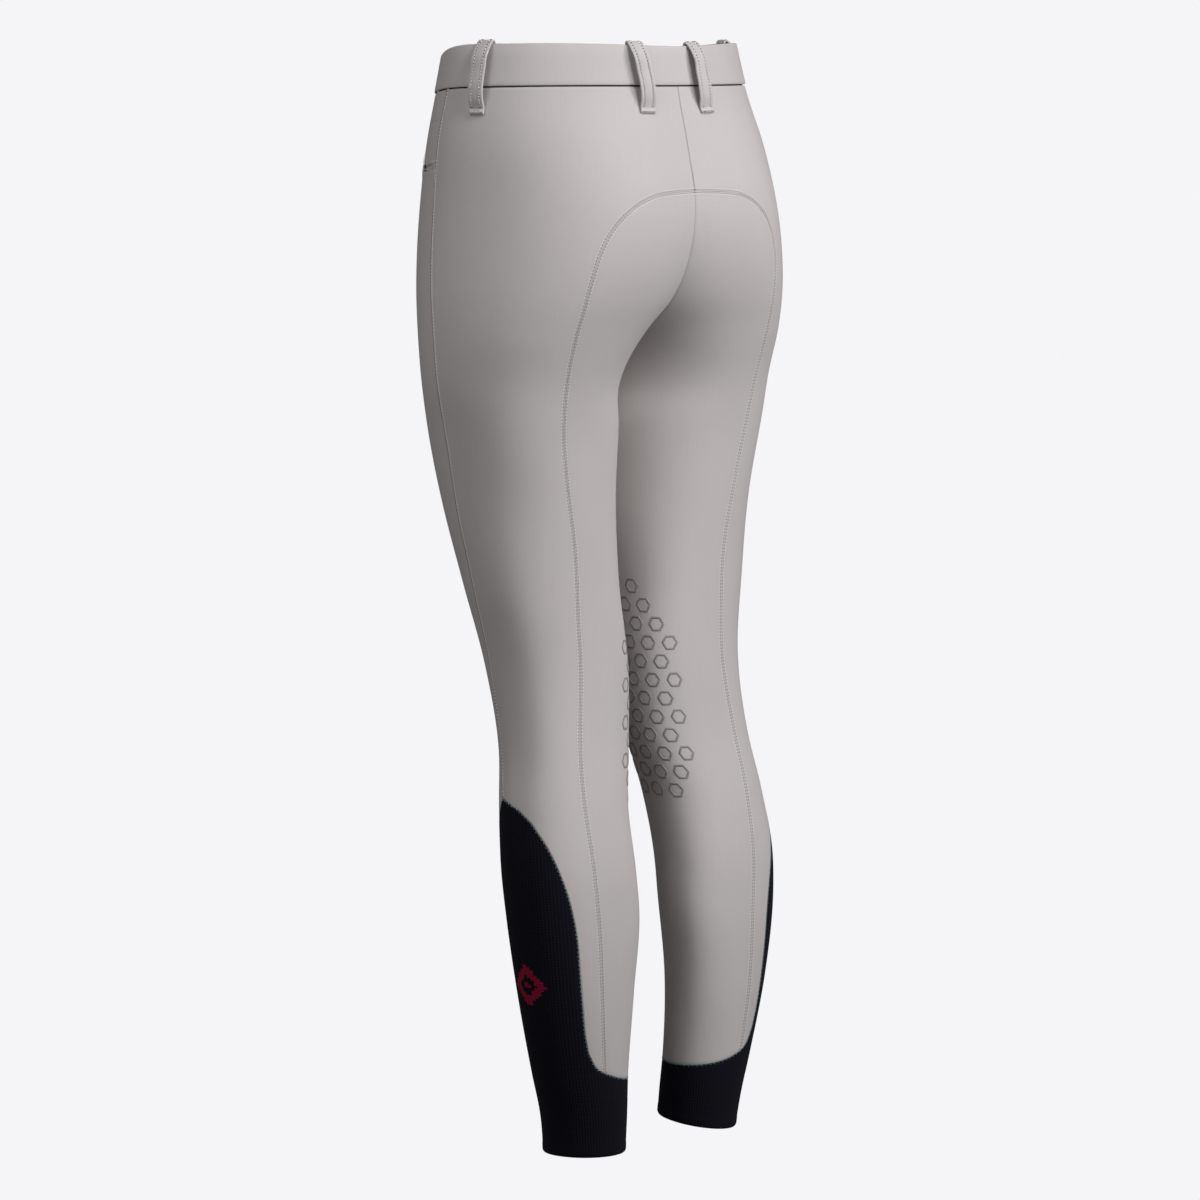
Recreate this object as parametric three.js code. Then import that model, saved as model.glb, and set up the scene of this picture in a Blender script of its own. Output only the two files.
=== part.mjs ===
// Riding breeches, filled out as if worn: hollow hips and two tapered legs.
// Millimetres, +Z up. The front faces -Y and the wearer's left is +X.
// The origin is the middle of the waist opening, level with the back of the band's top edge.

import * as THREE from "three";

// Driving sizes
const CLOTH = 1.5; // wall of the stretch cloth
const KNIT = 1.6; // wall of the knitted cuffs
const BAND_WALL = 2.2; // folded waistband
const BAND_PROUD = 1.2; // band's outer face in front of the cloth below it
const TAPE_WALL = 1.0;
const SEAM_GAP = 0.3; // space left between two pieces that are sewn together
const WAIST_GAP = 1.0; // slit under the band where the tape shows
const LOOP_WIDTH = 15;
const LOOP_WALL = 1.6;
const LOOP_STANDOFF = 7.6; // inner face of a belt loop, measured from the cloth
const LOOP_EASE = 0.7; // between a belt loop and what it is sewn to
const LOOP_RISE = 1.8; // how far it clears the band's top edge
const LOOP_TAIL = 23; // a belt loop ends this far below the band
const LOOP_HEM = 7; // and starts this far down inside it
const BUTTON_RADIUS = 8;
const BUTTON_DEPTH = 3;
const HEM_LEFT = -949; // middle of the left cuff's lower edge
const HEM_RIGHT = -938;
const HEM_RIGHT_TILT_X = 0.1; // the right cuff sits askew on the ankle
const HEM_RIGHT_TILT_Y = -0.13;
const FACING_MARGIN = 9; // pocket facing that carries on below the mouth
const FACING_TURN = 8; // degrees that it carries on in front of the mouth
const FACING_SUNK = 2.6; // depth of the facing behind the front panel's face
const FACING_SINKS = [11, 17]; // degrees in front of the outermost point between which it sinks
const FACING_LOW = [84, 98]; // but only below this, in millimetres under the waist
const FACING_DIVES = [38, 48]; // degrees between which it sinks higher up
const PLACKET_DROP = 2; // the fly's placket starts this far below the tape
const PLACKET_SUNK = 3 * SEAM_GAP; // and lies this far behind the front panels
const TAPE_HEIGHT = 11;
const TAPE_END = 0.99; // ends of tape and band, as shares of the half waist
const UNDERLAP_END = -1.02;
const OVERLAP_END = 1.1;
const OVERLAP_RAMP = [0.9, 0.96]; // where the band climbs onto the end below it
const TAPE_SINKS = [28, 38]; // degrees between which the tape goes behind the facing
const TAPE_RISES = [68, 77]; // and comes back out
const PLACKET_HALF = 0.045;
const PLACKET_LOW = -175;
const BUTTON_PLACE = 1.055;
const BUTTON_EASE = 0.6;
const HEM_TURNS = [-55, 45, 92, 228, 305]; // hem angles below the ends of the cuff's edges

// Counts of steps in the meshes
const SIDE_ROWS = 32; // down the outseam
const POCKET_ROWS = 7; // of those, beside the pocket mouth
const RISE_ROWS = 6; // of those, above the seat seam's top
const TIP_ROWS = 3; // of those, round each half of the sock's tip
const TONGUE_ROWS = 9; // of those, down the sock's tongue
const SEAT_STEPS = 14; // round the inside of the leg
const PANEL_STEPS = 10; // across the outer and front panels
const CUFF_ROWS = 3;
const BAND_STEPS = 64; // round the waist
const LOOP_STEPS = 22; // along a belt loop
const FORM_STEP = 0.4; // degrees and millimetres for measuring a slope of the form
const WAIST_STEP = 0.002; // the same on the waist's own measure

// The form: one row for each level of the left half, which the right half mirrors.
// Each row gives the outermost, rearmost, innermost and foremost points of the section.
// Above the crotch the innermost point is past the middle plane, which cuts the section.
// "square" is 2 for an elliptic back and more for a flatter one.
const FORM = table(
  ["z", "outX", "outY", "backX", "backY", "inX", "inY", "frontX", "frontY", "square"],
  [
    [0, 140, 0, 0, 108, -200, 0, 0, -98, 2.0],
    [-40, 148, 0, 15, 114, -190, 0, 8, -102, 2.0],
    [-85, 157, 0, 36, 127, -180, 0, 20, -105, 2.0],
    [-135, 163, 0, 48, 139, -160, 0, 32, -106, 2.0],
    [-180, 169, 0, 56, 136, -95, 0, 40, -101, 2.1],
    [-215, 173, 0, 64, 126, -47, 0, 46, -93, 2.2],
    [-245, 174, 0, 75, 113, -14, -4, 54, -85, 2.25],
    [-290, 171, 0, 87, 96, 0, -17, 65, -77, 2.15],
    [-325, 164, 0, 87, 88, 2, -4, 74, -74, 2.35],
    [-390, 153, 5, 78, 82, 5, 5, 79, -61, 2.25],
    [-460, 140, 20, 64, 80, 10, 20, 79, -45, 2.4],
    [-530, 126, 33, 58, 83, 9, 39, 78, -27, 2.6],
    [-600, 127, 46, 72, 91, 14, 47, 84, -3, 2.6],
    [-650, 136, 54, 75, 102, 25, 58, 88, 7, 2.5],
    [-705, 141, 62, 74, 112, 28, 74, 93, 16, 2.6],
    [-740, 140, 65, 72, 114, 27, 79, 93, 22, 2.6],
    [-810, 131, 66, 75, 114, 32, 80, 88, 31, 2.3],
    [-880, 116, 66, 72, 109, 32, 74, 77, 35, 2.0],
    [-915, 106, 66, 67, 106, 31, 70, 70, 34, 2.0],
    [-960, 99, 64, 64, 101, 30, 66, 67, 32, 2.0],
  ]
);
const CROTCH = -290;

// The band's two edges by the angle round the waist: -90 is the front, 90 the back.
const BAND_EDGES = table(
  ["angle", "top", "low"],
  [
    [-100, -26, -54],
    [-65, -22, -50],
    [-40, -15, -44],
    [-10, -3, -38],
    [30, 0, -35.5],
    [110, -4, -35.5],
  ]
);

// Seams of the left half: angle round the section and height.
// The angle is 0 at the outermost point, 90 at the back, 180 inside and 270 at the front.
const OUTSEAM = table(
  ["angle", "z"],
  [
    [-10, -105],
    [-8.5, -150],
    [-6, -195],
    [-2, -245],
    [-0.5, -310],
    [-1, -363],
    [-5, -411],
    [-12, -462],
    [-19, -505],
    [-26, -550],
    [-26, -600],
    [-20, -640],
  ]
);
const SEAT_TOP = -124; // the seat seam leaves the centre back seam here
const SEAT_SEAM = table(
  ["angle", "z"],
  [
    [92, -126],
    [82.5, -132],
    [74.5, -144],
    [69, -161],
    [67, -182],
    [67.5, -207],
    [69.5, -228],
    [71.5, -246],
    [74, -270],
    [77.5, -305],
    [79.5, -345],
    [79.5, -380],
    [80, -415],
    [78.5, -455],
    [75.5, -500],
    [74.5, -545],
    [76, -595],
    [76, -640],
    [78.5, -690],
    [79.5, -740],
    [80.5, -790],
    [81, -835],
    [81, -874.5],
  ]
);
const INNER_SEAM_TOP = -215; // the inner front seam leaves the centre front seam here
const INNER_SEAM = table(
  ["angle", "z"],
  [
    [239, -240],
    [238, -320],
    [240, -420],
    [242, -520],
    [242, -620],
    [240, -720],
    [240, -800],
    [240, -882.5],
  ]
);
const POCKET_MOUTH = table(
  ["angle", "z"],
  [
    [-54, -66],
    [-50, -84],
    [-42, -99],
    [-30, -108],
    [-20, -108.5],
    [-10, -105],
  ]
);
const POCKET_MOUTH_TOP = -55; // angle at which the mouth meets the band

// Upper edge of the sock, from its tip on the outseam round the back, inside and front
const SOCK_TIP_BACK = table(
  ["angle", "z"],
  [
    [-20, -640],
    [2, -646],
    [20, -657],
  ]
);
const SOCK_TONGUE_BACK = table(
  ["angle", "z"],
  [
    [20, -657],
    [34.5, -674],
    [43, -688.5],
    [49.5, -704],
    [54.5, -720],
    [58, -738],
    [60, -757],
    [60.5, -780],
    [61, -815],
    [61.5, -838],
    [64, -856],
  ]
);
const SOCK_FLARE_BACK = table(
  ["angle", "z"],
  [
    [64, -856],
    [71, -868.5],
    [81, -874.5],
  ]
);
const SOCK_INNER_EDGE = table(
  ["angle", "z"],
  [
    [81, -874.5],
    [100, -879.5],
    [125, -883],
    [160, -884.5],
    [200, -884],
    [240, -882.5],
  ]
);
const SOCK_FLARE_FRONT = table(
  ["angle", "z"],
  [
    [240, -882.5],
    [262, -877],
    [278, -866],
    [286, -852],
  ]
);
const SOCK_TONGUE_FRONT = table(
  ["angle", "z"],
  [
    [286, -852],
    [290, -838],
    [292, -800],
    [295, -760],
    [300, -725],
    [307, -697],
    [316, -673],
    [322, -661],
  ]
);
const SOCK_TIP_FRONT = table(
  ["angle", "z"],
  [
    [322, -661],
    [331, -648],
    [340, -640],
  ]
);

// Belt loops: angle round the waist at the band's top edge and at the loop's foot
const LOOPS = table(
  ["name", "side", "top", "foot"],
  [
    ["back", "left", 73, 83],
    ["back", "right", 82, 88],
    ["side", "left", 12.5, 12.5],
    ["side", "right", 12.5, 12.5],
    ["front", "left", -66, -66],
    ["front", "right", -66, -66],
  ]
);

function table(columns, rows) {
  return rows.map((row) => Object.fromEntries(columns.map((name, i) => [name, row[i]])));
}

// Smooth value of one column of a table at a place along its first column
function smooth(rows, along, column, at) {
  const last = rows.length - 1;
  const slope = (k) => {
    const a = rows[Math.max(k - 1, 0)];
    const b = rows[k];
    const c = rows[Math.min(k + 1, last)];
    if (a === b) return (c[column] - b[column]) / (c[along] - b[along]);
    if (b === c) return (b[column] - a[column]) / (b[along] - a[along]);
    const before = b[along] - a[along];
    const after = c[along] - b[along];
    const rising = (b[column] - a[column]) / before;
    const leaving = (c[column] - b[column]) / after;
    return (rising * after + leaving * before) / (before + after);
  };
  const way = Math.sign(rows[last][along] - rows[0][along]);
  let k = 0;
  while (k < last - 1 && (at - rows[k + 1][along]) * way > 0) k += 1;
  const from = rows[k];
  const to = rows[k + 1];
  const span = to[along] - from[along];
  const t = (at - from[along]) / span;
  if (t < 0) return from[column] + slope(k) * (at - from[along]);
  if (t > 1) return to[column] + slope(k + 1) * (at - to[along]);
  const tt = t * t;
  const ttt = tt * t;
  return (
    (2 * ttt - 3 * tt + 1) * from[column] +
    (ttt - 2 * tt + t) * slope(k) * span +
    (3 * tt - 2 * ttt) * to[column] +
    (ttt - tt) * slope(k + 1) * span
  );
}

function sectionAt(z) {
  const section = {};
  for (const name of Object.keys(FORM[0])) section[name] = smooth(FORM, "z", name, z);
  return section;
}

// Point of the left half's outer face at a place { angle, z }
function formPoint({ angle, z }) {
  const s = sectionAt(z);
  const turn = THREE.MathUtils.degToRad(angle);
  let across = Math.cos(turn);
  let along = Math.sin(turn);
  const atBack = along >= 0;
  if (atBack) {
    const power = 2 / s.square;
    across = Math.sign(across) * Math.abs(across) ** power;
    along = along ** power;
  }
  const poleX = atBack ? s.backX : s.frontX;
  const poleY = atBack ? s.backY : s.frontY;
  const wideX = across >= 0 ? s.outX : s.inX;
  const wideY = across >= 0 ? s.outY : s.inY;
  const x = poleX + Math.abs(wideX - poleX) * across;
  const y = wideY + Math.abs(poleY - wideY) * along;
  return new THREE.Vector3(x, y, z);
}

// Outward direction of a surface at a place on it
function normalOf(surface, place, step) {
  const round = surface({ angle: place.angle + step, z: place.z });
  round.sub(surface({ angle: place.angle - step, z: place.z }));
  const upward = surface({ angle: place.angle, z: place.z + step });
  upward.sub(surface({ angle: place.angle, z: place.z - step }));
  return round.cross(upward).normalize();
}

// Angle at which the middle plane cuts the section, behind and in front
function backCut(z) {
  const s = sectionAt(z);
  if (s.inX >= 0 || z <= CROTCH) return 180;
  const share = (s.backX / (s.backX - s.inX)) ** (s.square / 2);
  return THREE.MathUtils.radToDeg(Math.acos(-share));
}

function frontCut(z) {
  const s = sectionAt(z);
  if (s.inX >= 0 || z <= CROTCH) return 180;
  return 360 - THREE.MathUtils.radToDeg(Math.acos(-s.frontX / (s.frontX - s.inX)));
}

function bandTop(angle) {
  return smooth(BAND_EDGES, "angle", "top", angle);
}

function bandLow(angle) {
  return smooth(BAND_EDGES, "angle", "low", angle);
}

// A seam or edge is a list of places { angle, z }, spaced evenly along the cloth.
function spaced(places, count) {
  const points = places.map(formPoint);
  const run = [0];
  for (let i = 1; i < points.length; i += 1) run.push(run[i - 1] + points[i].distanceTo(points[i - 1]));
  const total = run[run.length - 1];
  const out = [];
  let k = 0;
  for (let i = 0; i <= count; i += 1) {
    const want = (total * i) / count;
    while (k < run.length - 2 && run[k + 1] < want) k += 1;
    const t = (want - run[k]) / (run[k + 1] - run[k]);
    out.push({
      angle: THREE.MathUtils.lerp(places[k].angle, places[k + 1].angle, t),
      z: THREE.MathUtils.lerp(places[k].z, places[k + 1].z, t),
    });
  }
  return out;
}

function curved(places, count) {
  const curve = new THREE.CatmullRomCurve3(places.map((p) => new THREE.Vector3(p.angle, p.z, 0)));
  const fine = curve.getPoints(places.length * 12).map((p) => ({ angle: p.x, z: p.y }));
  return spaced(fine, count);
}

function straight(from, to, count, place) {
  const fine = [];
  const steps = 60;
  for (let i = 0; i <= steps; i += 1) fine.push(place(THREE.MathUtils.lerp(from, to, i / steps)));
  return spaced(fine, count);
}

function turned(places, angle) {
  return places.map((p) => ({ angle: p.angle + angle, z: p.z }));
}

function waistPlace(angle) {
  return { angle, z: bandLow(angle) - WAIST_GAP };
}

// Where the waist edge meets the middle plane: its height there and that plane's angle
function middlePlace(cut, guess) {
  let place = waistPlace(guess);
  for (let i = 0; i < 6; i += 1) {
    const angle = cut(place.z);
    place = waistPlace(angle > 180 ? angle - 360 : angle);
  }
  return place;
}

const BACK_WAIST = middlePlace(backCut, 90);
const FRONT_WAIST = middlePlace(frontCut, -90);
const OUT_WAIST = waistPlace(-9.5);

// Edges that two pieces share are worked out once
const SEAT_ROWS = SIDE_ROWS - RISE_ROWS;
const outseamUpper = curved([OUT_WAIST, { angle: -10.5, z: -70 }, OUTSEAM[0]], POCKET_ROWS);
const outseamLower = curved(OUTSEAM, SIDE_ROWS - POCKET_ROWS - TIP_ROWS - TONGUE_ROWS);
const centreBack = straight(BACK_WAIST.z, SEAT_TOP, RISE_ROWS, (z) => ({ angle: backCut(z), z }));
const seatSeam = curved([{ angle: backCut(SEAT_TOP), z: SEAT_TOP }, ...SEAT_SEAM], SEAT_ROWS);
const innerSeamTop = { angle: frontCut(INNER_SEAM_TOP), z: INNER_SEAM_TOP };
const innerSeam = curved([innerSeamTop, ...INNER_SEAM], SEAT_ROWS);
const centreFront = straight(FRONT_WAIST.z, INNER_SEAM_TOP, RISE_ROWS, (z) => ({ angle: frontCut(z), z }));
const mouthTop = waistPlace(POCKET_MOUTH_TOP);
const pocketMouth = curved([mouthTop, ...POCKET_MOUTH], POCKET_ROWS);
const tipBack = curved(SOCK_TIP_BACK, TIP_ROWS);
const tongueBack = curved(SOCK_TONGUE_BACK, TONGUE_ROWS);
const flareBack = curved(SOCK_FLARE_BACK, PANEL_STEPS);
const sockInner = curved(SOCK_INNER_EDGE, SEAT_STEPS);
const flareFront = curved(SOCK_FLARE_FRONT, PANEL_STEPS);
const tongueFront = curved(SOCK_TONGUE_FRONT, TONGUE_ROWS);
const tipFront = curved(SOCK_TIP_FRONT, TIP_ROWS);
const tongueSide = [...chained(tongueFront, tipFront)].reverse();

function chained(...runs) {
  return runs.reduce((whole, run) => [...whole, ...run.slice(1)]);
}

// The crotch edge runs from the seat seam's top, under and up to the inner seam's top.
function crotchEdge(count) {
  const fine = [];
  const steps = 80;
  for (let i = 0; i <= steps; i += 1) {
    const z = SEAT_TOP + (CROTCH - SEAT_TOP) * Math.sin((Math.PI / 2) * (i / steps));
    fine.push({ angle: backCut(z), z });
  }
  for (let i = 1; i <= steps; i += 1) {
    const z = CROTCH + (INNER_SEAM_TOP - CROTCH) * (1 - Math.cos((Math.PI / 2) * (i / steps)));
    fine.push({ angle: frontCut(z), z });
  }
  return spaced(fine, count);
}

// Places all over a four-sided piece, filled in from its four edges
function fillPiece(top, bottom, start, end) {
  const rows = start.length - 1;
  const steps = top.length - 1;
  const mix = (column, i, j) => {
    const t = i / rows;
    const s = j / steps;
    const rails = (1 - t) * top[j][column] + t * bottom[j][column];
    const sides = (1 - s) * start[i][column] + s * end[i][column];
    const corners =
      (1 - t) * ((1 - s) * top[0][column] + s * top[steps][column]) +
      t * ((1 - s) * bottom[0][column] + s * bottom[steps][column]);
    return rails + sides - corners;
  };
  const grid = [];
  for (let i = 0; i <= rows; i += 1) {
    const row = [];
    for (let j = 0; j <= steps; j += 1) row.push({ angle: mix("angle", i, j), z: mix("z", i, j) });
    grid.push(row);
  }
  return grid;
}

// A cut piece: its places and its four-cornered faces. Grids that meet are joined on
// their shared places, also where a whole turn of the angle parts them.
function cutPiece(...grids) {
  const places = [];
  const faces = [];
  const known = new Map();
  const find = (place) => {
    const turn = ((place.angle % 360) + 360) % 360;
    const key = `${turn.toFixed(4)},${place.z.toFixed(4)}`;
    if (!known.has(key)) {
      known.set(key, places.length);
      places.push(place);
    }
    return known.get(key);
  };
  for (const grid of grids) {
    for (let i = 0; i < grid.length - 1; i += 1) {
      for (let j = 0; j < grid[0].length - 1; j += 1) {
        faces.push([grid[i][j], grid[i + 1][j], grid[i + 1][j + 1], grid[i][j + 1]].map(find));
      }
    }
  }
  return { places, faces };
}

// The open edge of a piece, as a map from each place to the next one along it
function openEdge(faces) {
  const next = new Map();
  const used = new Set(faces.flatMap((f) => f.map((a, k) => `${a},${f[(k + 1) % 4]}`)));
  for (const face of faces) {
    face.forEach((a, k) => {
      const b = face[(k + 1) % 4];
      if (!used.has(`${b},${a}`)) next.set(a, b);
    });
  }
  return next;
}

// Closed wall of cloth on a piece: "proud" moves a place out from the surface, and the
// open edge is drawn in by half a seam's gap.
function clothGeometry(piece, wall, options = {}) {
  const { surface = formPoint, step = FORM_STEP, proud = () => 0, mirrored = false } = options;
  const normals = piece.places.map((place) => normalOf(surface, place, step));
  const outer = piece.places.map((place, k) => surface(place).addScaledVector(normals[k], proud(place)));
  const next = openEdge(piece.faces);
  const before = new Map([...next].map(([a, b]) => [b, a]));
  const inwards = (k, from, to) => normals[k].clone().cross(outer[to].clone().sub(outer[from])).normalize();
  const moves = [...next.keys()].map((k) => {
    const first = inwards(k, before.get(k), k);
    const second = inwards(k, k, next.get(k));
    const spread = Math.max(1 + first.dot(second), 0.5);
    return [k, first.add(second).multiplyScalar(SEAM_GAP / 2 / spread)];
  });
  for (const [k, move] of moves) outer[k].add(move);
  const inner = outer.map((point, k) => point.clone().addScaledVector(normals[k], -wall));

  const positions = [...outer, ...inner].flatMap((p) => [mirrored ? -p.x : p.x, p.y, p.z]);
  const index = [];
  const quad = (a, b, c, d) => index.push(...(mirrored ? [a, c, b, a, d, c] : [a, b, c, a, c, d]));
  const count = outer.length;
  for (const [a, b, c, d] of piece.faces) {
    quad(a, b, c, d);
    quad(count + a, count + d, count + c, count + b);
  }
  for (const [a, b] of next) quad(b, a, count + a, count + b);
  const geometry = new THREE.BufferGeometry();
  geometry.setAttribute("position", new THREE.Float32BufferAttribute(positions, 3));
  geometry.setIndex(index);
  return geometry;
}

const GREY_CLOTH = { color: 0xbbb5b3, roughness: 0.85, metalness: 0 };
const NAVY_KNIT = { color: 0x15161d, roughness: 0.95, metalness: 0 };
const NAVY_TAPE = { color: 0x1b1c26, roughness: 0.9, metalness: 0 };
const STEEL = { color: 0x9b9894, roughness: 0.35, metalness: 0.9 };

const breeches = new THREE.Group();

function addPiece(name, geometry, finish) {
  geometry.computeVertexNormals();
  const mesh = new THREE.Mesh(geometry, new THREE.MeshStandardMaterial(finish));
  mesh.name = name;
  breeches.add(mesh);
  return mesh;
}

// Outer panel: side and upper back, one piece from the band to the sock
const outerTop = straight(OUT_WAIST.angle, BACK_WAIST.angle, PANEL_STEPS, waistPlace);
const outerStart = chained(outseamUpper, outseamLower, tipBack, tongueBack);
const outerPanel = cutPiece(fillPiece(outerTop, flareBack, outerStart, chained(centreBack, seatSeam)));

// Seat panel: seat, inside of thigh, knee and calf
const seatPanel = cutPiece(fillPiece(crotchEdge(SEAT_STEPS), sockInner, seatSeam, innerSeam));

// Front panel, cut away at the pocket mouth
const frontTop = turned(straight(FRONT_WAIST.angle, mouthTop.angle, PANEL_STEPS, waistPlace), 360);
const frontEnd = chained(turned(chained(pocketMouth, outseamLower), 360), tongueSide);
const frontPanel = cutPiece(fillPiece(frontTop, flareFront, chained(centreFront, innerSeam), frontEnd));

// Pocket facing: fills the mouth and carries on a little behind the front panel, but
// ends on the mouth's edge where that runs into the outseam.
function pocketFacing() {
  const behind = POCKET_ROWS - 2;
  const start = pocketMouth.slice(0, behind + 1).map((p, i) => ({
    angle: p.angle - FACING_TURN * Math.cos((Math.PI / 2) * (i / behind)),
    z: p.z - FACING_MARGIN * Math.sin(Math.PI * (i / behind)),
  }));
  start[0] = waistPlace(mouthTop.angle - FACING_TURN);
  const [tail, middle, foot] = pocketMouth.slice(behind);
  const bottom = chained(spaced([tail, middle], 4), spaced([middle, foot], 4));
  const top = straight(start[0].angle, OUT_WAIST.angle, bottom.length - 1, waistPlace);
  return cutPiece(fillPiece(top, bottom, curved(start, POCKET_ROWS), outseamUpper));
}

// Sock: the tongue that climbs the outside of the calf, then the cuff round the ankle,
// whose columns spread out on their way to the hem.
function sock(hem) {
  const tongueFoot = spaced([turned([tongueFront[0]], -360)[0], tongueBack[TONGUE_ROWS]], 2 * TIP_ROWS);
  const tip = chained(turned(tipFront, -360), tipBack);
  const tongueStart = turned([...tongueFront].reverse(), -360);
  const tongue = fillPiece(tip, tongueFoot, tongueStart, tongueBack);
  const edge = chained(tongueFoot, flareBack, sockInner, flareFront);
  const hemRun = (from, to, count) => straight(from, to, count, (angle) => ({ angle, z: hem(angle) }));
  const foot = chained(
    ...[2 * TIP_ROWS, PANEL_STEPS, SEAT_STEPS, PANEL_STEPS].map((count, k) =>
      hemRun(HEM_TURNS[k], HEM_TURNS[k + 1], count)
    )
  );
  const cuff = [];
  for (let i = 0; i <= CUFF_ROWS; i += 1) {
    const share = i / CUFF_ROWS;
    const row = edge.map((p, j) => ({
      angle: THREE.MathUtils.lerp(p.angle, foot[j].angle, share),
      z: THREE.MathUtils.lerp(p.z, foot[j].z, share),
    }));
    cuff.push(row);
  }
  return cutPiece(tongue, cuff);
}

const hemLeft = () => HEM_LEFT;
const hemRight = (angle) => {
  const foot = FORM[FORM.length - 1];
  const point = formPoint({ angle, z: HEM_RIGHT });
  const across = point.x - (foot.outX + foot.inX) / 2;
  const along = point.y - (foot.backY + foot.frontY) / 2;
  return HEM_RIGHT - HEM_RIGHT_TILT_X * across + HEM_RIGHT_TILT_Y * along;
};

// The whole waist as one surface: "angle" here runs from -1 at the front through the
// wearer's left side to 0 at the back, and on to 1 at the front again.
function waistPoint({ angle, z }) {
  const past = Math.abs(angle) > 1;
  const share = past ? 2 - Math.abs(angle) : Math.abs(angle);
  const onLeft = angle < 0 !== past;
  const point = formPoint({ angle: THREE.MathUtils.lerp(backCut(z), frontCut(z) - 360, share), z });
  if (!onLeft) point.x = -point.x;
  return point;
}

function waistAngle(place) {
  const share = Math.abs(place) > 1 ? 2 - Math.abs(place) : Math.abs(place);
  return 90 - 180 * share;
}

function waistGrid(from, to, steps, rows, top, low) {
  const grid = [];
  for (let i = 0; i <= rows; i += 1) {
    const row = [];
    for (let j = 0; j <= steps; j += 1) {
      const angle = THREE.MathUtils.lerp(from, to, j / steps);
      const around = waistAngle(angle);
      row.push({ angle, z: THREE.MathUtils.lerp(top(around), low(around), i / rows) });
    }
    grid.push(row);
  }
  return grid;
}

// Waistband: its right end laps over its left end at the front
const overlapLift = (place) =>
  BAND_PROUD + (BAND_WALL + 2 * SEAM_GAP) * THREE.MathUtils.smoothstep(place.angle, ...OVERLAP_RAMP);
const waistStyle = { surface: waistPoint, step: WAIST_STEP };
const band = cutPiece(waistGrid(UNDERLAP_END, OVERLAP_END, BAND_STEPS, 2, bandTop, bandLow));
addPiece("waistband", clothGeometry(band, BAND_WALL, { ...waistStyle, proud: overlapLift }), GREY_CLOTH);

// Dark tape behind the slit between band and cloth
const tapeTop = (angle) => bandLow(angle) + TAPE_HEIGHT / 2;
const tapeLow = (angle) => bandLow(angle) - WAIST_GAP - TAPE_HEIGHT / 2;
const behindCloth = () => -CLOTH - 3 * SEAM_GAP;
const behindFacing = (place) => {
  const forward = -waistAngle(place.angle);
  const sunk = THREE.MathUtils.smoothstep(forward, ...TAPE_SINKS);
  const share = sunk - THREE.MathUtils.smoothstep(forward, ...TAPE_RISES);
  return behindCloth() - (FACING_SUNK + 2 * SEAM_GAP) * share;
};
const tape = cutPiece(waistGrid(-TAPE_END, TAPE_END, BAND_STEPS, 1, tapeTop, tapeLow));
addPiece("waist_tape", clothGeometry(tape, TAPE_WALL, { ...waistStyle, proud: behindFacing }), NAVY_TAPE);

// Placket strip behind the front opening
const placketTop = (angle) => tapeLow(angle) - PLACKET_DROP;
const placket = cutPiece(waistGrid(1 - PLACKET_HALF, 1 + PLACKET_HALF, 4, 8, placketTop, () => PLACKET_LOW));
const placketStyle = { ...waistStyle, proud: () => -CLOTH - PLACKET_SUNK };
addPiece("fly_placket", clothGeometry(placket, TAPE_WALL, placketStyle), GREY_CLOTH);

// Belt loop: a strap hooked over the band's edge, standing off it, sewn down below it
function loopRoute(top, low) {
  const half = LOOP_WALL / 2;
  const inside = BAND_PROUD - BAND_WALL - LOOP_EASE - half;
  const outside = BAND_PROUD + LOOP_EASE + half;
  const standing = LOOP_STANDOFF + half;
  const sewn = LOOP_EASE + half;
  const places = [
    [inside, top - LOOP_HEM],
    [inside, top + 0.2],
    [(inside + outside) / 2, top + LOOP_RISE + half],
    [outside + 1, top - 0.5],
    [standing, top - 11],
    [standing, (top + low) / 2 - 4],
    [standing, low + 1],
    [standing - 2.4, low - 10],
    [sewn, low - LOOP_TAIL + 4],
    [sewn - 0.1, low - LOOP_TAIL],
  ];
  return new THREE.CatmullRomCurve3(places.map(([depth, height]) => new THREE.Vector3(depth, height, 0)));
}

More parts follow.
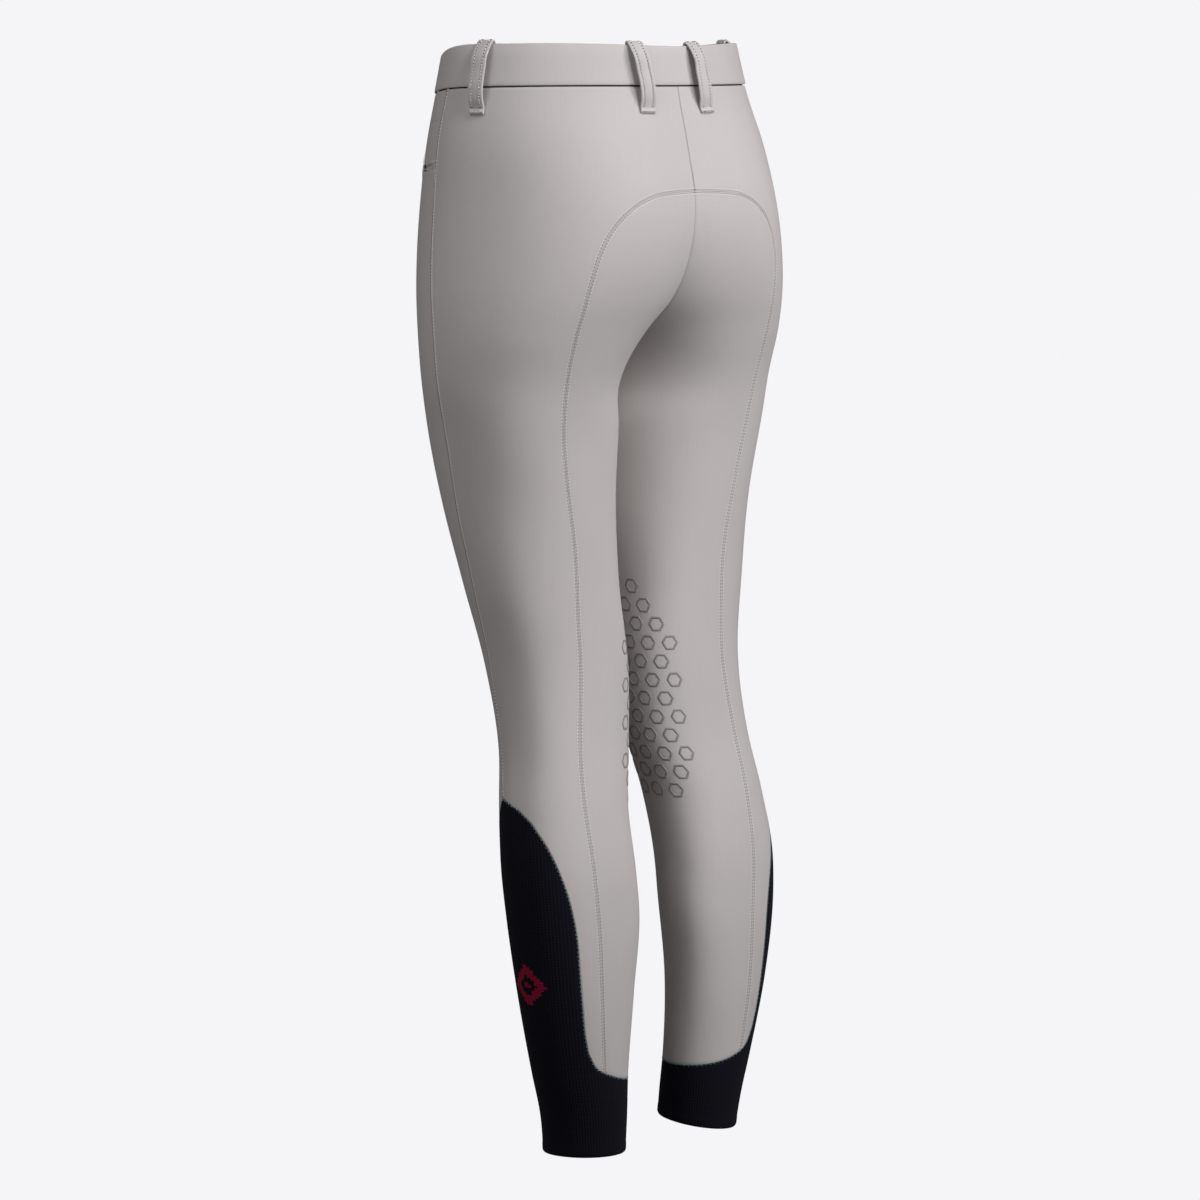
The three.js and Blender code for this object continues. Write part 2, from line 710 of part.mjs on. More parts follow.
function beltLoop(loop, mirrored) {
  const top = bandTop(loop.top);
  const low = bandLow(loop.foot);
  const half = LOOP_WALL / 2;
  const route = loopRoute(top, low);
  const before = formPoint({ angle: loop.top - 3, z: top });
  const after = formPoint({ angle: loop.top + 3, z: top });
  const slope = (bandTop(loop.top + 3) - bandTop(loop.top - 3)) / after.distanceTo(before);
  const angleAt = (z) => THREE.MathUtils.lerp(loop.top, loop.foot, (top - z) / (top - low + LOOP_TAIL));
  const positions = [];
  for (let i = 0; i <= LOOP_STEPS; i += 1) {
    const here = route.getPointAt(i / LOOP_STEPS);
    const way = route.getTangentAt(i / LOOP_STEPS);
    const place = { angle: angleAt(here.y), z: here.y };
    const out = normalOf(formPoint, place, FORM_STEP).setZ(0).normalize();
    const along = new THREE.Vector3(-out.y, out.x, slope);
    for (const [side, face] of [[-1, 1], [1, 1], [1, -1], [-1, -1]]) {
      const point = formPoint(place);
      point.addScaledVector(out, here.x - way.y * half * face);
      point.z += way.x * half * face;
      point.addScaledVector(along, (side * LOOP_WIDTH) / 2);
      positions.push(mirrored ? -point.x : point.x, point.y, point.z);
    }
  }
  const index = [];
  const quad = (a, b, c, d) => index.push(...(mirrored ? [a, c, b, a, d, c] : [a, b, c, a, c, d]));
  for (let i = 0; i < LOOP_STEPS; i += 1) {
    for (let k = 0; k < 4; k += 1) {
      const a = 4 * i + k;
      const b = 4 * i + ((k + 1) % 4);
      quad(a, a + 4, b + 4, b);
    }
  }
  quad(0, 1, 2, 3);
  const end = 4 * LOOP_STEPS;
  quad(end + 3, end + 2, end + 1, end);
  const geometry = new THREE.BufferGeometry();
  geometry.setAttribute("position", new THREE.Float32BufferAttribute(positions, 3));
  geometry.setIndex(index);
  return geometry;
}

// Waist button on the overlap tab
function waistButton() {
  const profile = [
    [0, 0],
    [BUTTON_RADIUS - 1, 0],
    [BUTTON_RADIUS, 0.8],
    [BUTTON_RADIUS, BUTTON_DEPTH - 0.8],
    [BUTTON_RADIUS - 1, BUTTON_DEPTH],
    [BUTTON_RADIUS - 2, BUTTON_DEPTH - 0.7],
    [0, BUTTON_DEPTH - 0.7],
  ].map(([radius, depth]) => new THREE.Vector2(radius, depth));
  const mesh = addPiece("waist_button", new THREE.LatheGeometry(profile, 28), STEEL);
  const around = waistAngle(BUTTON_PLACE);
  const place = { angle: BUTTON_PLACE, z: (bandTop(around) + bandLow(around)) / 2 };
  const out = normalOf(waistPoint, place, WAIST_STEP);
  mesh.position.copy(waistPoint(place)).addScaledVector(out, overlapLift(place) + BUTTON_EASE);
  mesh.quaternion.setFromUnitVectors(new THREE.Vector3(0, 1, 0), out);
}

waistButton();

// The facing lies level with the outer panel and goes behind the front panel at the mouth.
const facing = pocketFacing();
const facingDepth = ({ angle, z }) => {
  const low = THREE.MathUtils.smoothstep(-z, ...FACING_LOW);
  const under = low * THREE.MathUtils.smoothstep(-angle, ...FACING_SINKS);
  return -FACING_SUNK * Math.max(under, THREE.MathUtils.smoothstep(-angle, ...FACING_DIVES));
};

for (const side of ["left", "right"]) {
  const mirrored = side === "right";
  const sockPiece = sock(mirrored ? hemRight : hemLeft);
  addPiece(`front_panel_${side}`, clothGeometry(frontPanel, CLOTH, { mirrored }), GREY_CLOTH);
  const sunk = { mirrored, proud: facingDepth };
  addPiece(`pocket_facing_${side}`, clothGeometry(facing, CLOTH, sunk), GREY_CLOTH);
  addPiece(`outer_panel_${side}`, clothGeometry(outerPanel, CLOTH, { mirrored }), GREY_CLOTH);
  addPiece(`seat_panel_${side}`, clothGeometry(seatPanel, CLOTH, { mirrored }), GREY_CLOTH);
  addPiece(`sock_${side}`, clothGeometry(sockPiece, KNIT, { mirrored }), NAVY_KNIT);
  for (const loop of LOOPS.filter((row) => row.side === side)) {
    addPiece(`belt_loop_${loop.name}_${side}`, beltLoop(loop, mirrored), GREY_CLOTH);
  }
}

export default breeches;
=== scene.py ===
import math
import random

import bpy
import numpy as np
from mathutils import Matrix, Vector


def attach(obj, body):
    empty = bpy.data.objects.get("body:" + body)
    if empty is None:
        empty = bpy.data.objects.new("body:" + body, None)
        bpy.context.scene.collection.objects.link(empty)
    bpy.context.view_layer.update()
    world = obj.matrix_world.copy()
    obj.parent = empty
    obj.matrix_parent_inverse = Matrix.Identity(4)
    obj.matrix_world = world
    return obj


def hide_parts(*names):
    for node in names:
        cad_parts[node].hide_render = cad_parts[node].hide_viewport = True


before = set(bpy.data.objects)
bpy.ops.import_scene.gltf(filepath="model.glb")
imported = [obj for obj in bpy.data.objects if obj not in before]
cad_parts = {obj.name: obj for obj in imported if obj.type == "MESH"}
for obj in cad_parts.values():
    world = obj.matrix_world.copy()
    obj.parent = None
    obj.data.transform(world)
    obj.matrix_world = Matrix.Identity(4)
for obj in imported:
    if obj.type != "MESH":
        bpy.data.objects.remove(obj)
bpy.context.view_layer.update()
random.seed(7)

MM = 0.001
ROOT = "root"

# Camera, behind and to the wearer's left
CAMERA_AZIMUTH = 138.0
CAMERA_HEIGHT_ANGLE = 5.9
CAMERA_DISTANCE = 4.7
CAMERA_TARGET = Vector((-0.0071, 0.0064, -0.482))
SENSOR_WIDTH = 36.0
FOCAL_SHARE = 5400 / 1200  # focal length as a share of the picture's width


def direction(azimuth, height):
    """Way from the target to something that looks at it from that azimuth and height."""
    turn = math.radians(azimuth)
    rise = math.radians(height)
    return Vector((math.sin(turn) * math.cos(rise), -math.cos(turn) * math.cos(rise), math.sin(rise)))


def aim(thing, target):
    thing.rotation_euler = (target - thing.location).to_track_quat("-Z", "Y").to_euler()


def make_camera():
    data = bpy.data.cameras.new("camera")
    data.sensor_width = SENSOR_WIDTH
    data.lens = SENSOR_WIDTH * FOCAL_SHARE
    data.clip_end = 100
    camera = bpy.data.objects.new("camera", data)
    bpy.context.scene.collection.objects.link(camera)
    camera.location = CAMERA_TARGET + CAMERA_DISTANCE * direction(CAMERA_AZIMUTH, CAMERA_HEIGHT_ANGLE)
    aim(camera, CAMERA_TARGET)
    bpy.context.scene.camera = camera


make_camera()

# Driving sizes in millimetres, as in the solids
CLOTH = 1.4
KNIT = 1.5
BAND_WALL = 2.2
BAND_PROUD = 1.2
SEAM_GAP = 0.3
WAIST_GAP = 1.0
LOOP_WIDTH = 15
LOOP_WALL = 1.6
LOOP_STANDOFF = 7.6
LOOP_EASE = 0.7
LOOP_RISE = 1.8
LOOP_TAIL = 23
LOOP_HEM = 7
TAPE_HEIGHT = 11
TAPE_END = 0.99
UNDERLAP_END = -1.02
OVERLAP_END = 1.1
PLACKET_HALF = 0.045
PLACKET_LOW = -175
BUTTON_PLACE = 1.055
BUTTON_RADIUS = 8
BUTTON_EASE = 0.6
FACING_MARGIN = 9
FACING_TURN = 8
FACING_SUNK = 2.6
FACING_SINKS = (11, 17)
FACING_LOW = (100, 105.5)
FACING_DIVES = (-3.5, -0.8)  # degrees from the mouth's edge
TAPE_SINKS = (28, 38)
TAPE_RISES = (68, 77)
HEM_LEFT = -949
HEM_RIGHT = -938
HEM_RIGHT_TILT_X = 0.1
HEM_RIGHT_TILT_Y = -0.13
CROTCH = -290
SEAT_TOP = -124
INNER_SEAM_TOP = -215
POCKET_MOUTH_TOP = -55

# Rows of a panel's sides, as in the solids, and how finely each is cut here
POCKET_ROWS = 7
OUTSEAM_ROWS = 13
TIP_ROWS = 3
TONGUE_ROWS = 9
RISE_ROWS = 6
SEAT_ROWS = 26
SIDE_ROWS = 32
FINE = 8

# One row for each level of the left half: z, then the outermost, rearmost, innermost and
# foremost points of the section as x and y, then how square its back is
FORM = np.array([
    [0, 140, 0, 0, 108, -200, 0, 0, -98, 2.0],
    [-40, 148, 0, 15, 114, -190, 0, 8, -102, 2.0],
    [-85, 157, 0, 36, 127, -180, 0, 20, -105, 2.0],
    [-135, 163, 0, 48, 139, -160, 0, 32, -106, 2.0],
    [-180, 169, 0, 56, 136, -95, 0, 40, -101, 2.1],
    [-215, 173, 0, 64, 126, -47, 0, 46, -93, 2.2],
    [-245, 174, 0, 75, 113, -14, -4, 54, -85, 2.25],
    [-290, 171, 0, 87, 96, 0, -17, 65, -77, 2.15],
    [-325, 164, 0, 87, 88, 2, -4, 74, -74, 2.35],
    [-390, 153, 5, 78, 82, 5, 5, 79, -61, 2.25],
    [-460, 140, 20, 64, 80, 10, 20, 79, -45, 2.4],
    [-530, 126, 33, 58, 83, 9, 39, 78, -27, 2.6],
    [-600, 127, 46, 72, 91, 14, 47, 84, -3, 2.6],
    [-650, 136, 54, 75, 102, 25, 58, 88, 7, 2.5],
    [-705, 141, 62, 74, 112, 28, 74, 93, 16, 2.6],
    [-740, 140, 65, 72, 114, 27, 79, 93, 22, 2.6],
    [-810, 131, 66, 75, 114, 32, 80, 88, 31, 2.3],
    [-880, 116, 66, 72, 109, 32, 74, 77, 35, 2.0],
    [-915, 106, 66, 67, 106, 31, 70, 70, 34, 2.0],
    [-960, 99, 64, 64, 101, 30, 66, 67, 32, 2.0],
], float)
OUT_X, OUT_Y, BACK_X, BACK_Y, IN_X, IN_Y, FRONT_X, FRONT_Y, SQUARE = range(1, 10)

# Angle round the waist, then the band's top and lower edge
BAND_EDGES = np.array([
    [-100, -26, -54],
    [-65, -22, -50],
    [-40, -15, -44],
    [-10, -3, -38],
    [30, 0, -35.5],
    [110, -4, -35.5],
], float)

# Seams of the left half as angle and height. The angle is 0 at the outermost point,
# 90 at the back, 180 inside and 270 at the front.
OUTSEAM = [
    (-10, -105), (-8.5, -150), (-6, -195), (-2, -245), (-0.5, -310), (-1, -363),
    (-5, -411), (-12, -462), (-19, -505), (-26, -550), (-26, -600), (-20, -640),
]
SEAT_SEAM = [
    (92, -126), (82.5, -132), (74.5, -144), (69, -161), (67, -182), (67.5, -207),
    (69.5, -228), (71.5, -246), (74, -270), (77.5, -305), (79.5, -345), (79.5, -380),
    (80, -415), (78.5, -455), (75.5, -500), (74.5, -545), (76, -595), (76, -640),
    (78.5, -690), (79.5, -740), (80.5, -790), (81, -835), (81, -874.5),
]
INNER_SEAM = [
    (239, -240), (238, -320), (240, -420), (242, -520), (242, -620), (240, -720),
    (240, -800), (240, -882.5),
]
POCKET_MOUTH = [(-54, -66), (-50, -84), (-42, -99), (-30, -108), (-20, -108.5), (-10, -105)]
SOCK_TIP_BACK = [(-20, -640), (2, -646), (20, -657)]
SOCK_TONGUE_BACK = [
    (20, -657), (34.5, -674), (43, -688.5), (49.5, -704), (54.5, -720), (58, -738),
    (60, -757), (60.5, -780), (61, -815), (61.5, -838), (64, -856),
]
SOCK_FLARE_BACK = [(64, -856), (71, -868.5), (81, -874.5)]
SOCK_INNER_EDGE = [(81, -874.5), (100, -879.5), (125, -883), (160, -884.5), (200, -884), (240, -882.5)]
SOCK_FLARE_FRONT = [(240, -882.5), (262, -877), (278, -866), (286, -852)]
SOCK_TONGUE_FRONT = [
    (286, -852), (290, -838), (292, -800), (295, -760), (300, -725), (307, -697),
    (316, -673), (322, -661),
]
SOCK_TIP_FRONT = [(322, -661), (331, -648), (340, -640)]
# Belt loops: angle at the band's top edge and at the loop's foot
LOOPS = {
    "back_left": (73, 83),
    "back_right": (82, 88),
    "side_left": (12.5, 12.5),
    "side_right": (12.5, 12.5),
    "front_left": (-66, -66),
    "front_right": (-66, -66),
}


# The form

def smooth(rows, column, at):
    """Smooth values of one column of a table at places along its first column."""
    rows = rows[np.argsort(rows[:, 0])]
    place = rows[:, 0]
    value = rows[:, column]
    gap = np.diff(place)
    rise = np.diff(value) / gap
    middle = (rise[:-1] * gap[1:] + rise[1:] * gap[:-1]) / (gap[:-1] + gap[1:])
    slope = np.concatenate(([rise[0]], middle, [rise[-1]]))
    at = np.asarray(at, float)
    k = np.clip(np.searchsorted(place, at) - 1, 0, len(gap) - 1)
    t = (at - place[k]) / gap[k]
    u = np.clip(t, 0, 1)
    inside = (
        (2 * u**3 - 3 * u**2 + 1) * value[k]
        + (u**3 - 2 * u**2 + u) * slope[k] * gap[k]
        + (3 * u**2 - 2 * u**3) * value[k + 1]
        + (u**3 - u**2) * slope[k + 1] * gap[k]
    )
    return inside + (t - u) * gap[k] * np.where(t < 0, slope[k], slope[k + 1])


def form_point(angle, z):
    """Points of the left half's outer face, in millimetres."""
    angle, z = np.broadcast_arrays(np.asarray(angle, float), np.asarray(z, float))
    part = [None] + [smooth(FORM, column, z) for column in range(1, 10)]
    turn = np.radians(angle)
    across = np.cos(turn)
    way = np.sin(turn)
    at_back = way >= 0
    power = np.where(at_back, 2 / part[SQUARE], 1)
    across = np.sign(across) * np.abs(across) ** power
    way = np.sign(way) * np.abs(way) ** power
    pole_x = np.where(at_back, part[BACK_X], part[FRONT_X])
    pole_y = np.where(at_back, part[BACK_Y], part[FRONT_Y])
    wide_x = np.where(across >= 0, part[OUT_X], part[IN_X])
    wide_y = np.where(across >= 0, part[OUT_Y], part[IN_Y])
    x = pole_x + np.abs(wide_x - pole_x) * across
    y = wide_y + np.abs(pole_y - wide_y) * way
    return np.stack([x, y, z], -1)


def cut_angle(z, at_back):
    """Angle at which the middle plane cuts the section, behind or in front."""
    z = np.asarray(z, float)
    inside = np.minimum(smooth(FORM, IN_X, z), 0)
    pole = smooth(FORM, BACK_X if at_back else FRONT_X, z)
    power = smooth(FORM, SQUARE, z) / 2 if at_back else 1
    turn = np.degrees(np.arccos(-np.clip((pole / (pole - inside)), 0, 1) ** power))
    turn = np.where(z <= CROTCH, 180, turn)
    return turn if at_back else 360 - turn


def band_top(angle):
    return smooth(BAND_EDGES, 1, angle)


def band_low(angle):
    return smooth(BAND_EDGES, 2, angle)


def waist_point(share, z):
    """The whole waist: share runs from -1 in front, by the wearer's left, to 0 behind and 1 in front."""
    share, z = np.broadcast_arrays(np.asarray(share, float), np.asarray(z, float))
    past = np.abs(share) > 1
    near = np.where(past, 2 - np.abs(share), np.abs(share))
    behind = cut_angle(z, True)
    point = form_point(behind + (cut_angle(z, False) - 360 - behind) * near, z)
    on_left = (share < 0) != past
    point[..., 0] *= np.where(on_left, 1, -1)
    return point


def waist_angle(share):
    share = np.abs(share)
    return 90 - 180 * np.where(share > 1, 2 - share, share)


def unit(vectors):
    return vectors / np.maximum(np.linalg.norm(vectors, axis=-1, keepdims=True), 1e-9)


def normal_of(surface, angle, z, step):
    round_way = surface(angle + step, z) - surface(angle - step, z)
    up_way = surface(angle, z + step) - surface(angle, z - step)
    return unit(np.cross(round_way, up_way))


# Lines and grids of places

def along(line, shares):
    """Places at given shares of a line's length on the form."""
    points = form_point(line[:, 0], line[:, 1])
    run = np.concatenate(([0], np.cumsum(np.linalg.norm(np.diff(points, axis=0), axis=1))))
    want = np.asarray(shares) * run[-1]
    return np.stack([np.interp(want, run, line[:, k]) for k in (0, 1)], 1)


def curve(places):
    """A finely cut smooth line through places."""
    places = np.array(places, float)
    chord = np.sqrt(np.hypot(*np.diff(places, axis=0).T))
    chord = np.concatenate(([0], np.cumsum(chord)))
    fine = np.linspace(0, chord[-1], 24 * len(places))
    return np.stack([smooth(np.column_stack((chord, places[:, k])), 1, fine) for k in (0, 1)], 1)


def straight(start, end, place):
    return np.array([place(value) for value in np.linspace(start, end, 80)], float)


def side_of(*runs):
    """Joins lines, each with its number of rows, into one line read by row number."""

    def at(rows):
        out = np.zeros((len(rows), 2))
        first = 0
        for line, count in runs:
            here = (rows >= first - 1e-9) & (rows <= first + count + 1e-9)
            out[here] = along(line, np.clip((rows[here] - first) / count, 0, 1))
            first += count
        return out

    return at


def crowded(steps, share=0.82):
    """Shares from 0 to 1 that lie closer together near both ends."""
    even = np.linspace(0, 1, steps + 1)
    return even - share * np.sin(2 * np.pi * even) / (2 * np.pi)


def fine_rows(total, ends=(0.012, 0.03, 0.06, 0.1, 0.16)):
    ends = np.array(ends)
    rows = np.concatenate((np.linspace(0, total, total * FINE + 1), ends, total - ends))
    return np.unique(np.round(rows, 5))


def fill(top, bottom, start, end, down):
    """Places all over a four-sided piece, filled in from its four edges."""
    t = down[:, None, None]
    s = np.linspace(0, 1, len(top))[None, :, None] if top.ndim == 2 else None
    corners = (1 - t) * ((1 - s) * top[0] + s * top[-1]) + t * ((1 - s) * bottom[0] + s * bottom[-1])
    return (1 - t) * top[None] + t * bottom[None] + (1 - s) * start[:, None] + s * end[:, None] - corners


def panel_places(top, bottom, start, end, rows, steps):
    """Grid of places of a panel. Each edge is a line, each side is read by row number."""
    even = crowded(steps)
    down = fine_rows(rows)
    t = (down / rows)[:, None, None]
    s = even[None, :, None]
    high = along(top, even)[None]
    low = along(bottom, even)[None]
    first = start(down)[:, None]
    last = end(down)[:, None]
    corners = (1 - t) * ((1 - s) * high[:, :1] + s * high[:, -1:])
    corners = corners + t * ((1 - s) * low[:, :1] + s * low[:, -1:])
    return (1 - t) * high + t * low + (1 - s) * first + s * last - corners


def waist_place(angle):
    return (float(angle), float(band_low(angle)) - WAIST_GAP)


def middle_place(at_back):
    angle, z = waist_place(90 if at_back else -90)
    for _ in range(6):
        cut = float(cut_angle(z, at_back))
        angle, z = waist_place(cut if at_back else cut - 360)
    return angle, z


BACK_WAIST = middle_place(True)
FRONT_WAIST = middle_place(False)
OUT_WAIST = waist_place(-9.5)
MOUTH_TOP = waist_place(POCKET_MOUTH_TOP)

outseam_upper = curve([OUT_WAIST, (-10.5, -70), OUTSEAM[0]])
outseam_lower = curve(OUTSEAM)
centre_back = straight(BACK_WAIST[1], SEAT_TOP, lambda z: (cut_angle(z, True), z))
seat_seam = curve([(float(cut_angle(SEAT_TOP, True)), SEAT_TOP), *SEAT_SEAM])
inner_seam = curve([(float(cut_angle(INNER_SEAM_TOP, False)), INNER_SEAM_TOP), *INNER_SEAM])
centre_front = straight(FRONT_WAIST[1], INNER_SEAM_TOP, lambda z: (cut_angle(z, False), z))
pocket_mouth = curve([MOUTH_TOP, *POCKET_MOUTH])
tip_back = curve(SOCK_TIP_BACK)
tongue_back = curve(SOCK_TONGUE_BACK)
flare_back = curve(SOCK_FLARE_BACK)
sock_inner = curve(SOCK_INNER_EDGE)
flare_front = curve(SOCK_FLARE_FRONT)
tongue_front = curve(SOCK_TONGUE_FRONT)
tip_front = curve(SOCK_TIP_FRONT)
WHOLE_TURN = np.array([360, 0])


def crotch_edge():
    share = np.linspace(0, 1, 81)
    behind = SEAT_TOP + (CROTCH - SEAT_TOP) * np.sin(math.pi / 2 * share)
    before = CROTCH + (INNER_SEAM_TOP - CROTCH) * (1 - np.cos(math.pi / 2 * share[1:]))
    angles = np.concatenate((cut_angle(behind, True), cut_angle(before, False)))
    return np.stack([angles, np.concatenate((behind, before))], 1)


# Meshes

def put_mesh(name, points, faces, material, uvs=None, smooth_shade=True):
    """A mesh object at the origin. Points are in millimetres."""
    mesh = bpy.data.meshes.new(name)
    mesh.from_pydata((np.asarray(points).reshape(-1, 3) * MM).tolist(), [], faces)
    if uvs is not None:
        layer = mesh.uv_layers.new(name="UVMap")
        index = np.zeros(len(mesh.loops), int)
        mesh.loops.foreach_get("vertex_index", index)
        layer.data.foreach_set("uv", np.asarray(uvs).reshape(-1, 2)[index].ravel())
    mesh.validate()
    mesh.materials.append(material)
    piece = bpy.data.objects.new(name, mesh)
    bpy.context.scene.collection.objects.link(piece)
    if smooth_shade:
        mesh.polygons.foreach_set("use_smooth", [True] * len(mesh.polygons))
    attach(piece, ROOT)
    return piece


def grid_faces(rows, columns, mirrored=False, first=0):
    faces = []
    for i in range(rows - 1):
        for j in range(columns - 1):
            a = first + i * columns + j
            face = (a, a + columns, a + columns + 1, a + 1)
            faces.append(face[::-1] if mirrored else face)
    return faces


def edge_distances(points):
    """Distance along the cloth from each point of a grid to its four edges."""
    across = np.linalg.norm(np.diff(points, axis=1), axis=2)
    across = np.concatenate((np.zeros((len(points), 1)), np.cumsum(across, axis=1)), axis=1)
    down = np.linalg.norm(np.diff(points, axis=0), axis=2)
    down = np.concatenate((np.zeros((1, points.shape[1])), np.cumsum(down, axis=0)), axis=0)
    return {"start": across, "end": across[:, -1:] - across, "top": down, "bottom": down[-1:] - down}


def rolled(points, edges):
    """How far the cloth sinks towards the edges that are sewn down."""
    distance = edge_distances(points)
    sunk = np.zeros(points.shape[:2])
    for name, (depth, width) in edges.items():
        sunk = np.maximum(sunk, depth * np.exp(-((distance[name] / width) ** 2)))
    return -sunk


ON_MIDDLE = 0.02  # millimetres from the middle plane that still count as on it


def cloth_piece(name, places, edges, material, mirrored=False, proud=None, wall=CLOTH, surface=form_point, step=0.4):
    """A shell of cloth on a grid of places, with its edges rolled down into the seams."""
    angle = places[..., 0]
    z = places[..., 1]
    points = surface(angle, z)
    normals = normal_of(surface, angle, z, step)
    lift = rolled(points, edges)
    if proud is not None:
        lift = lift + proud(angle, z, edge_distances(points))
    width = edge_distances(points)["start"]
    across = width - width[:, -1:] / 2
    in_middle = np.abs(points[..., 0]) < ON_MIDDLE
    points = points + normals * lift[..., None]
    points[in_middle, 0] = 0  # the two halves meet there, rolled in or not
    if mirrored:
        points[..., 0] *= -1
    uvs = np.stack([across * MM, z * MM], -1)
    faces = grid_faces(*points.shape[:2], mirrored)
    piece = put_mesh(name, points, faces, material, uvs)
    thicken(piece, wall)
    return piece


def thicken(piece, wall):
    solid = piece.modifiers.new("wall", "SOLIDIFY")
    solid.thickness = wall * MM
    solid.offset = -1
    solid.use_even_offset = False
    return solid


# Finishes

class Number:
    """A node's number output, used in sums as a number is."""

    def __init__(self, finish, socket):
        self.finish = finish
        self.socket = socket

    def join(self, operation, first, second=None):
        return self.finish.number("ShaderNodeMath", {"operation": operation}, first, second)

    def __add__(self, other):
        return self.join("ADD", self, other)

    def __radd__(self, other):
        return self.join("ADD", other, self)

    def __sub__(self, other):
        return self.join("SUBTRACT", self, other)

    def __rsub__(self, other):
        return self.join("SUBTRACT", other, self)

    def __mul__(self, other):
        return self.join("MULTIPLY", self, other)

    def __rmul__(self, other):
        return self.join("MULTIPLY", other, self)

    def __truediv__(self, other):
        return self.join("DIVIDE", self, other)

    def __gt__(self, other):
        return self.join("GREATER_THAN", self, other)

    def __lt__(self, other):
        return self.join("LESS_THAN", self, other)

    def sine(self):
        return self.join("SINE", self)

    def size(self):
        return self.join("ABSOLUTE", self)

    def floor(self):
        return self.join("FLOOR", self)

    def part(self):
        return self.join("FRACT", self)

    def clamped(self):
        return self.join("MINIMUM", self.join("MAXIMUM", self, 0.0), 1.0)


def colour(red, green, blue):
    """A colour given as a screen's 0 to 255, as the shader wants it."""
    def linear(value):
        share = value / 255
        return share / 12.92 if share <= 0.04045 else ((share + 0.055) / 1.055) ** 2.4
    return (linear(red), linear(green), linear(blue), 1)


class Finish:
    """One material and its nodes."""

    def __init__(self, name):
        self.material = bpy.data.materials.new(name)
        self.material.use_nodes = True
        self.tree = self.material.node_tree
        self.shader = self.tree.nodes["Principled BSDF"]

    def node(self, kind, settings=None, *inputs, **named):
        made = self.tree.nodes.new(kind)
        for key, value in (settings or {}).items():
            setattr(made, key, value)
        slots = list(enumerate(inputs)) + list(named.items())
        for key, value in slots:
            if value is not None:
                self.feed(made.inputs[key], value)
        return made

    def feed(self, socket, value):
        if isinstance(value, Number):
            value = value.socket
        if isinstance(value, bpy.types.NodeSocket):
            self.tree.links.new(value, socket)
        else:
            socket.default_value = value

    def number(self, kind, settings, *inputs):
        return Number(self, self.node(kind, settings, *inputs).outputs[0])

    def place(self):
        return self.node("ShaderNodeTexCoord").outputs["Object"]

    def flat(self):
        """The piece's own flat measure: across and up the cloth, in metres."""
        parts = self.node("ShaderNodeSeparateXYZ", None, self.node("ShaderNodeTexCoord").outputs["UV"])
        return Number(self, parts.outputs[0]), Number(self, parts.outputs[1])

    def noise(self, scale, detail=2.0, vector=None):
        made = self.node(
            "ShaderNodeTexNoise", None, Vector=vector or self.place(), Scale=scale, Detail=detail
        )
        return Number(self, made.outputs[0])

    def stretched(self, across, up):
        """Coordinates on the cloth, drawn out by a factor each way."""
        u, v = self.flat()
        joined = self.node("ShaderNodeCombineXYZ", None, u * across, v * up)
        return joined.outputs[0]

    def mix(self, factor, first, second):
        made = self.node("ShaderNodeMix", {"data_type": "RGBA"})
        self.feed(made.inputs[0], factor)
        self.feed(made.inputs[6], first)
        self.feed(made.inputs[7], second)
        return made.outputs[2]

    def bump(self, height, strength, distance):
        made = self.node("ShaderNodeBump", None, Strength=strength, Distance=distance, Height=height)
        self.feed(self.shader.inputs["Normal"], made.outputs[0])

    def set(self, **values):
        for name, value in values.items():
            self.feed(self.shader.inputs[name.replace("_", " ").title()], value)
        return self


WAVE = 2 * math.pi


def stretch_cloth(name="stretch cloth", light=(203, 198, 197), dark=(190, 184, 183)):
    finish = Finish(name)
    u, v = finish.flat()
    pitch = 0.0011
    weave = (u * (WAVE / pitch)).sine() * (v * (WAVE / pitch)).sine()
    streak = finish.noise(1.0, 3.0, finish.stretched(900.0, 25.0))
    cloud = finish.noise(14.0, 3.0)
    tone = (streak * 0.5 + cloud * 0.5 + weave * 0.08).clamped()
    finish.set(
        base_color=finish.mix(tone, colour(*dark), colour(*light)),
        roughness=cloud * 0.12 + 0.66,
    )
    finish.shader.inputs["Sheen Weight"].default_value = 0.12
    finish.shader.inputs["Sheen Roughness"].default_value = 0.4
    finish.shader.inputs["Specular IOR Level"].default_value = 0.3
    finish.bump(weave * 0.5 + streak * 0.6, 0.25, 0.00012)
    return finish.material


RIB_ANGLE = 3.6
COURSE = 0.0022
MARK_ANGLE = 3
MARK_Z = -0.797
MARK_HALF_ANGLE = 22.0
MARK_HALF_HEIGHT = 0.0185


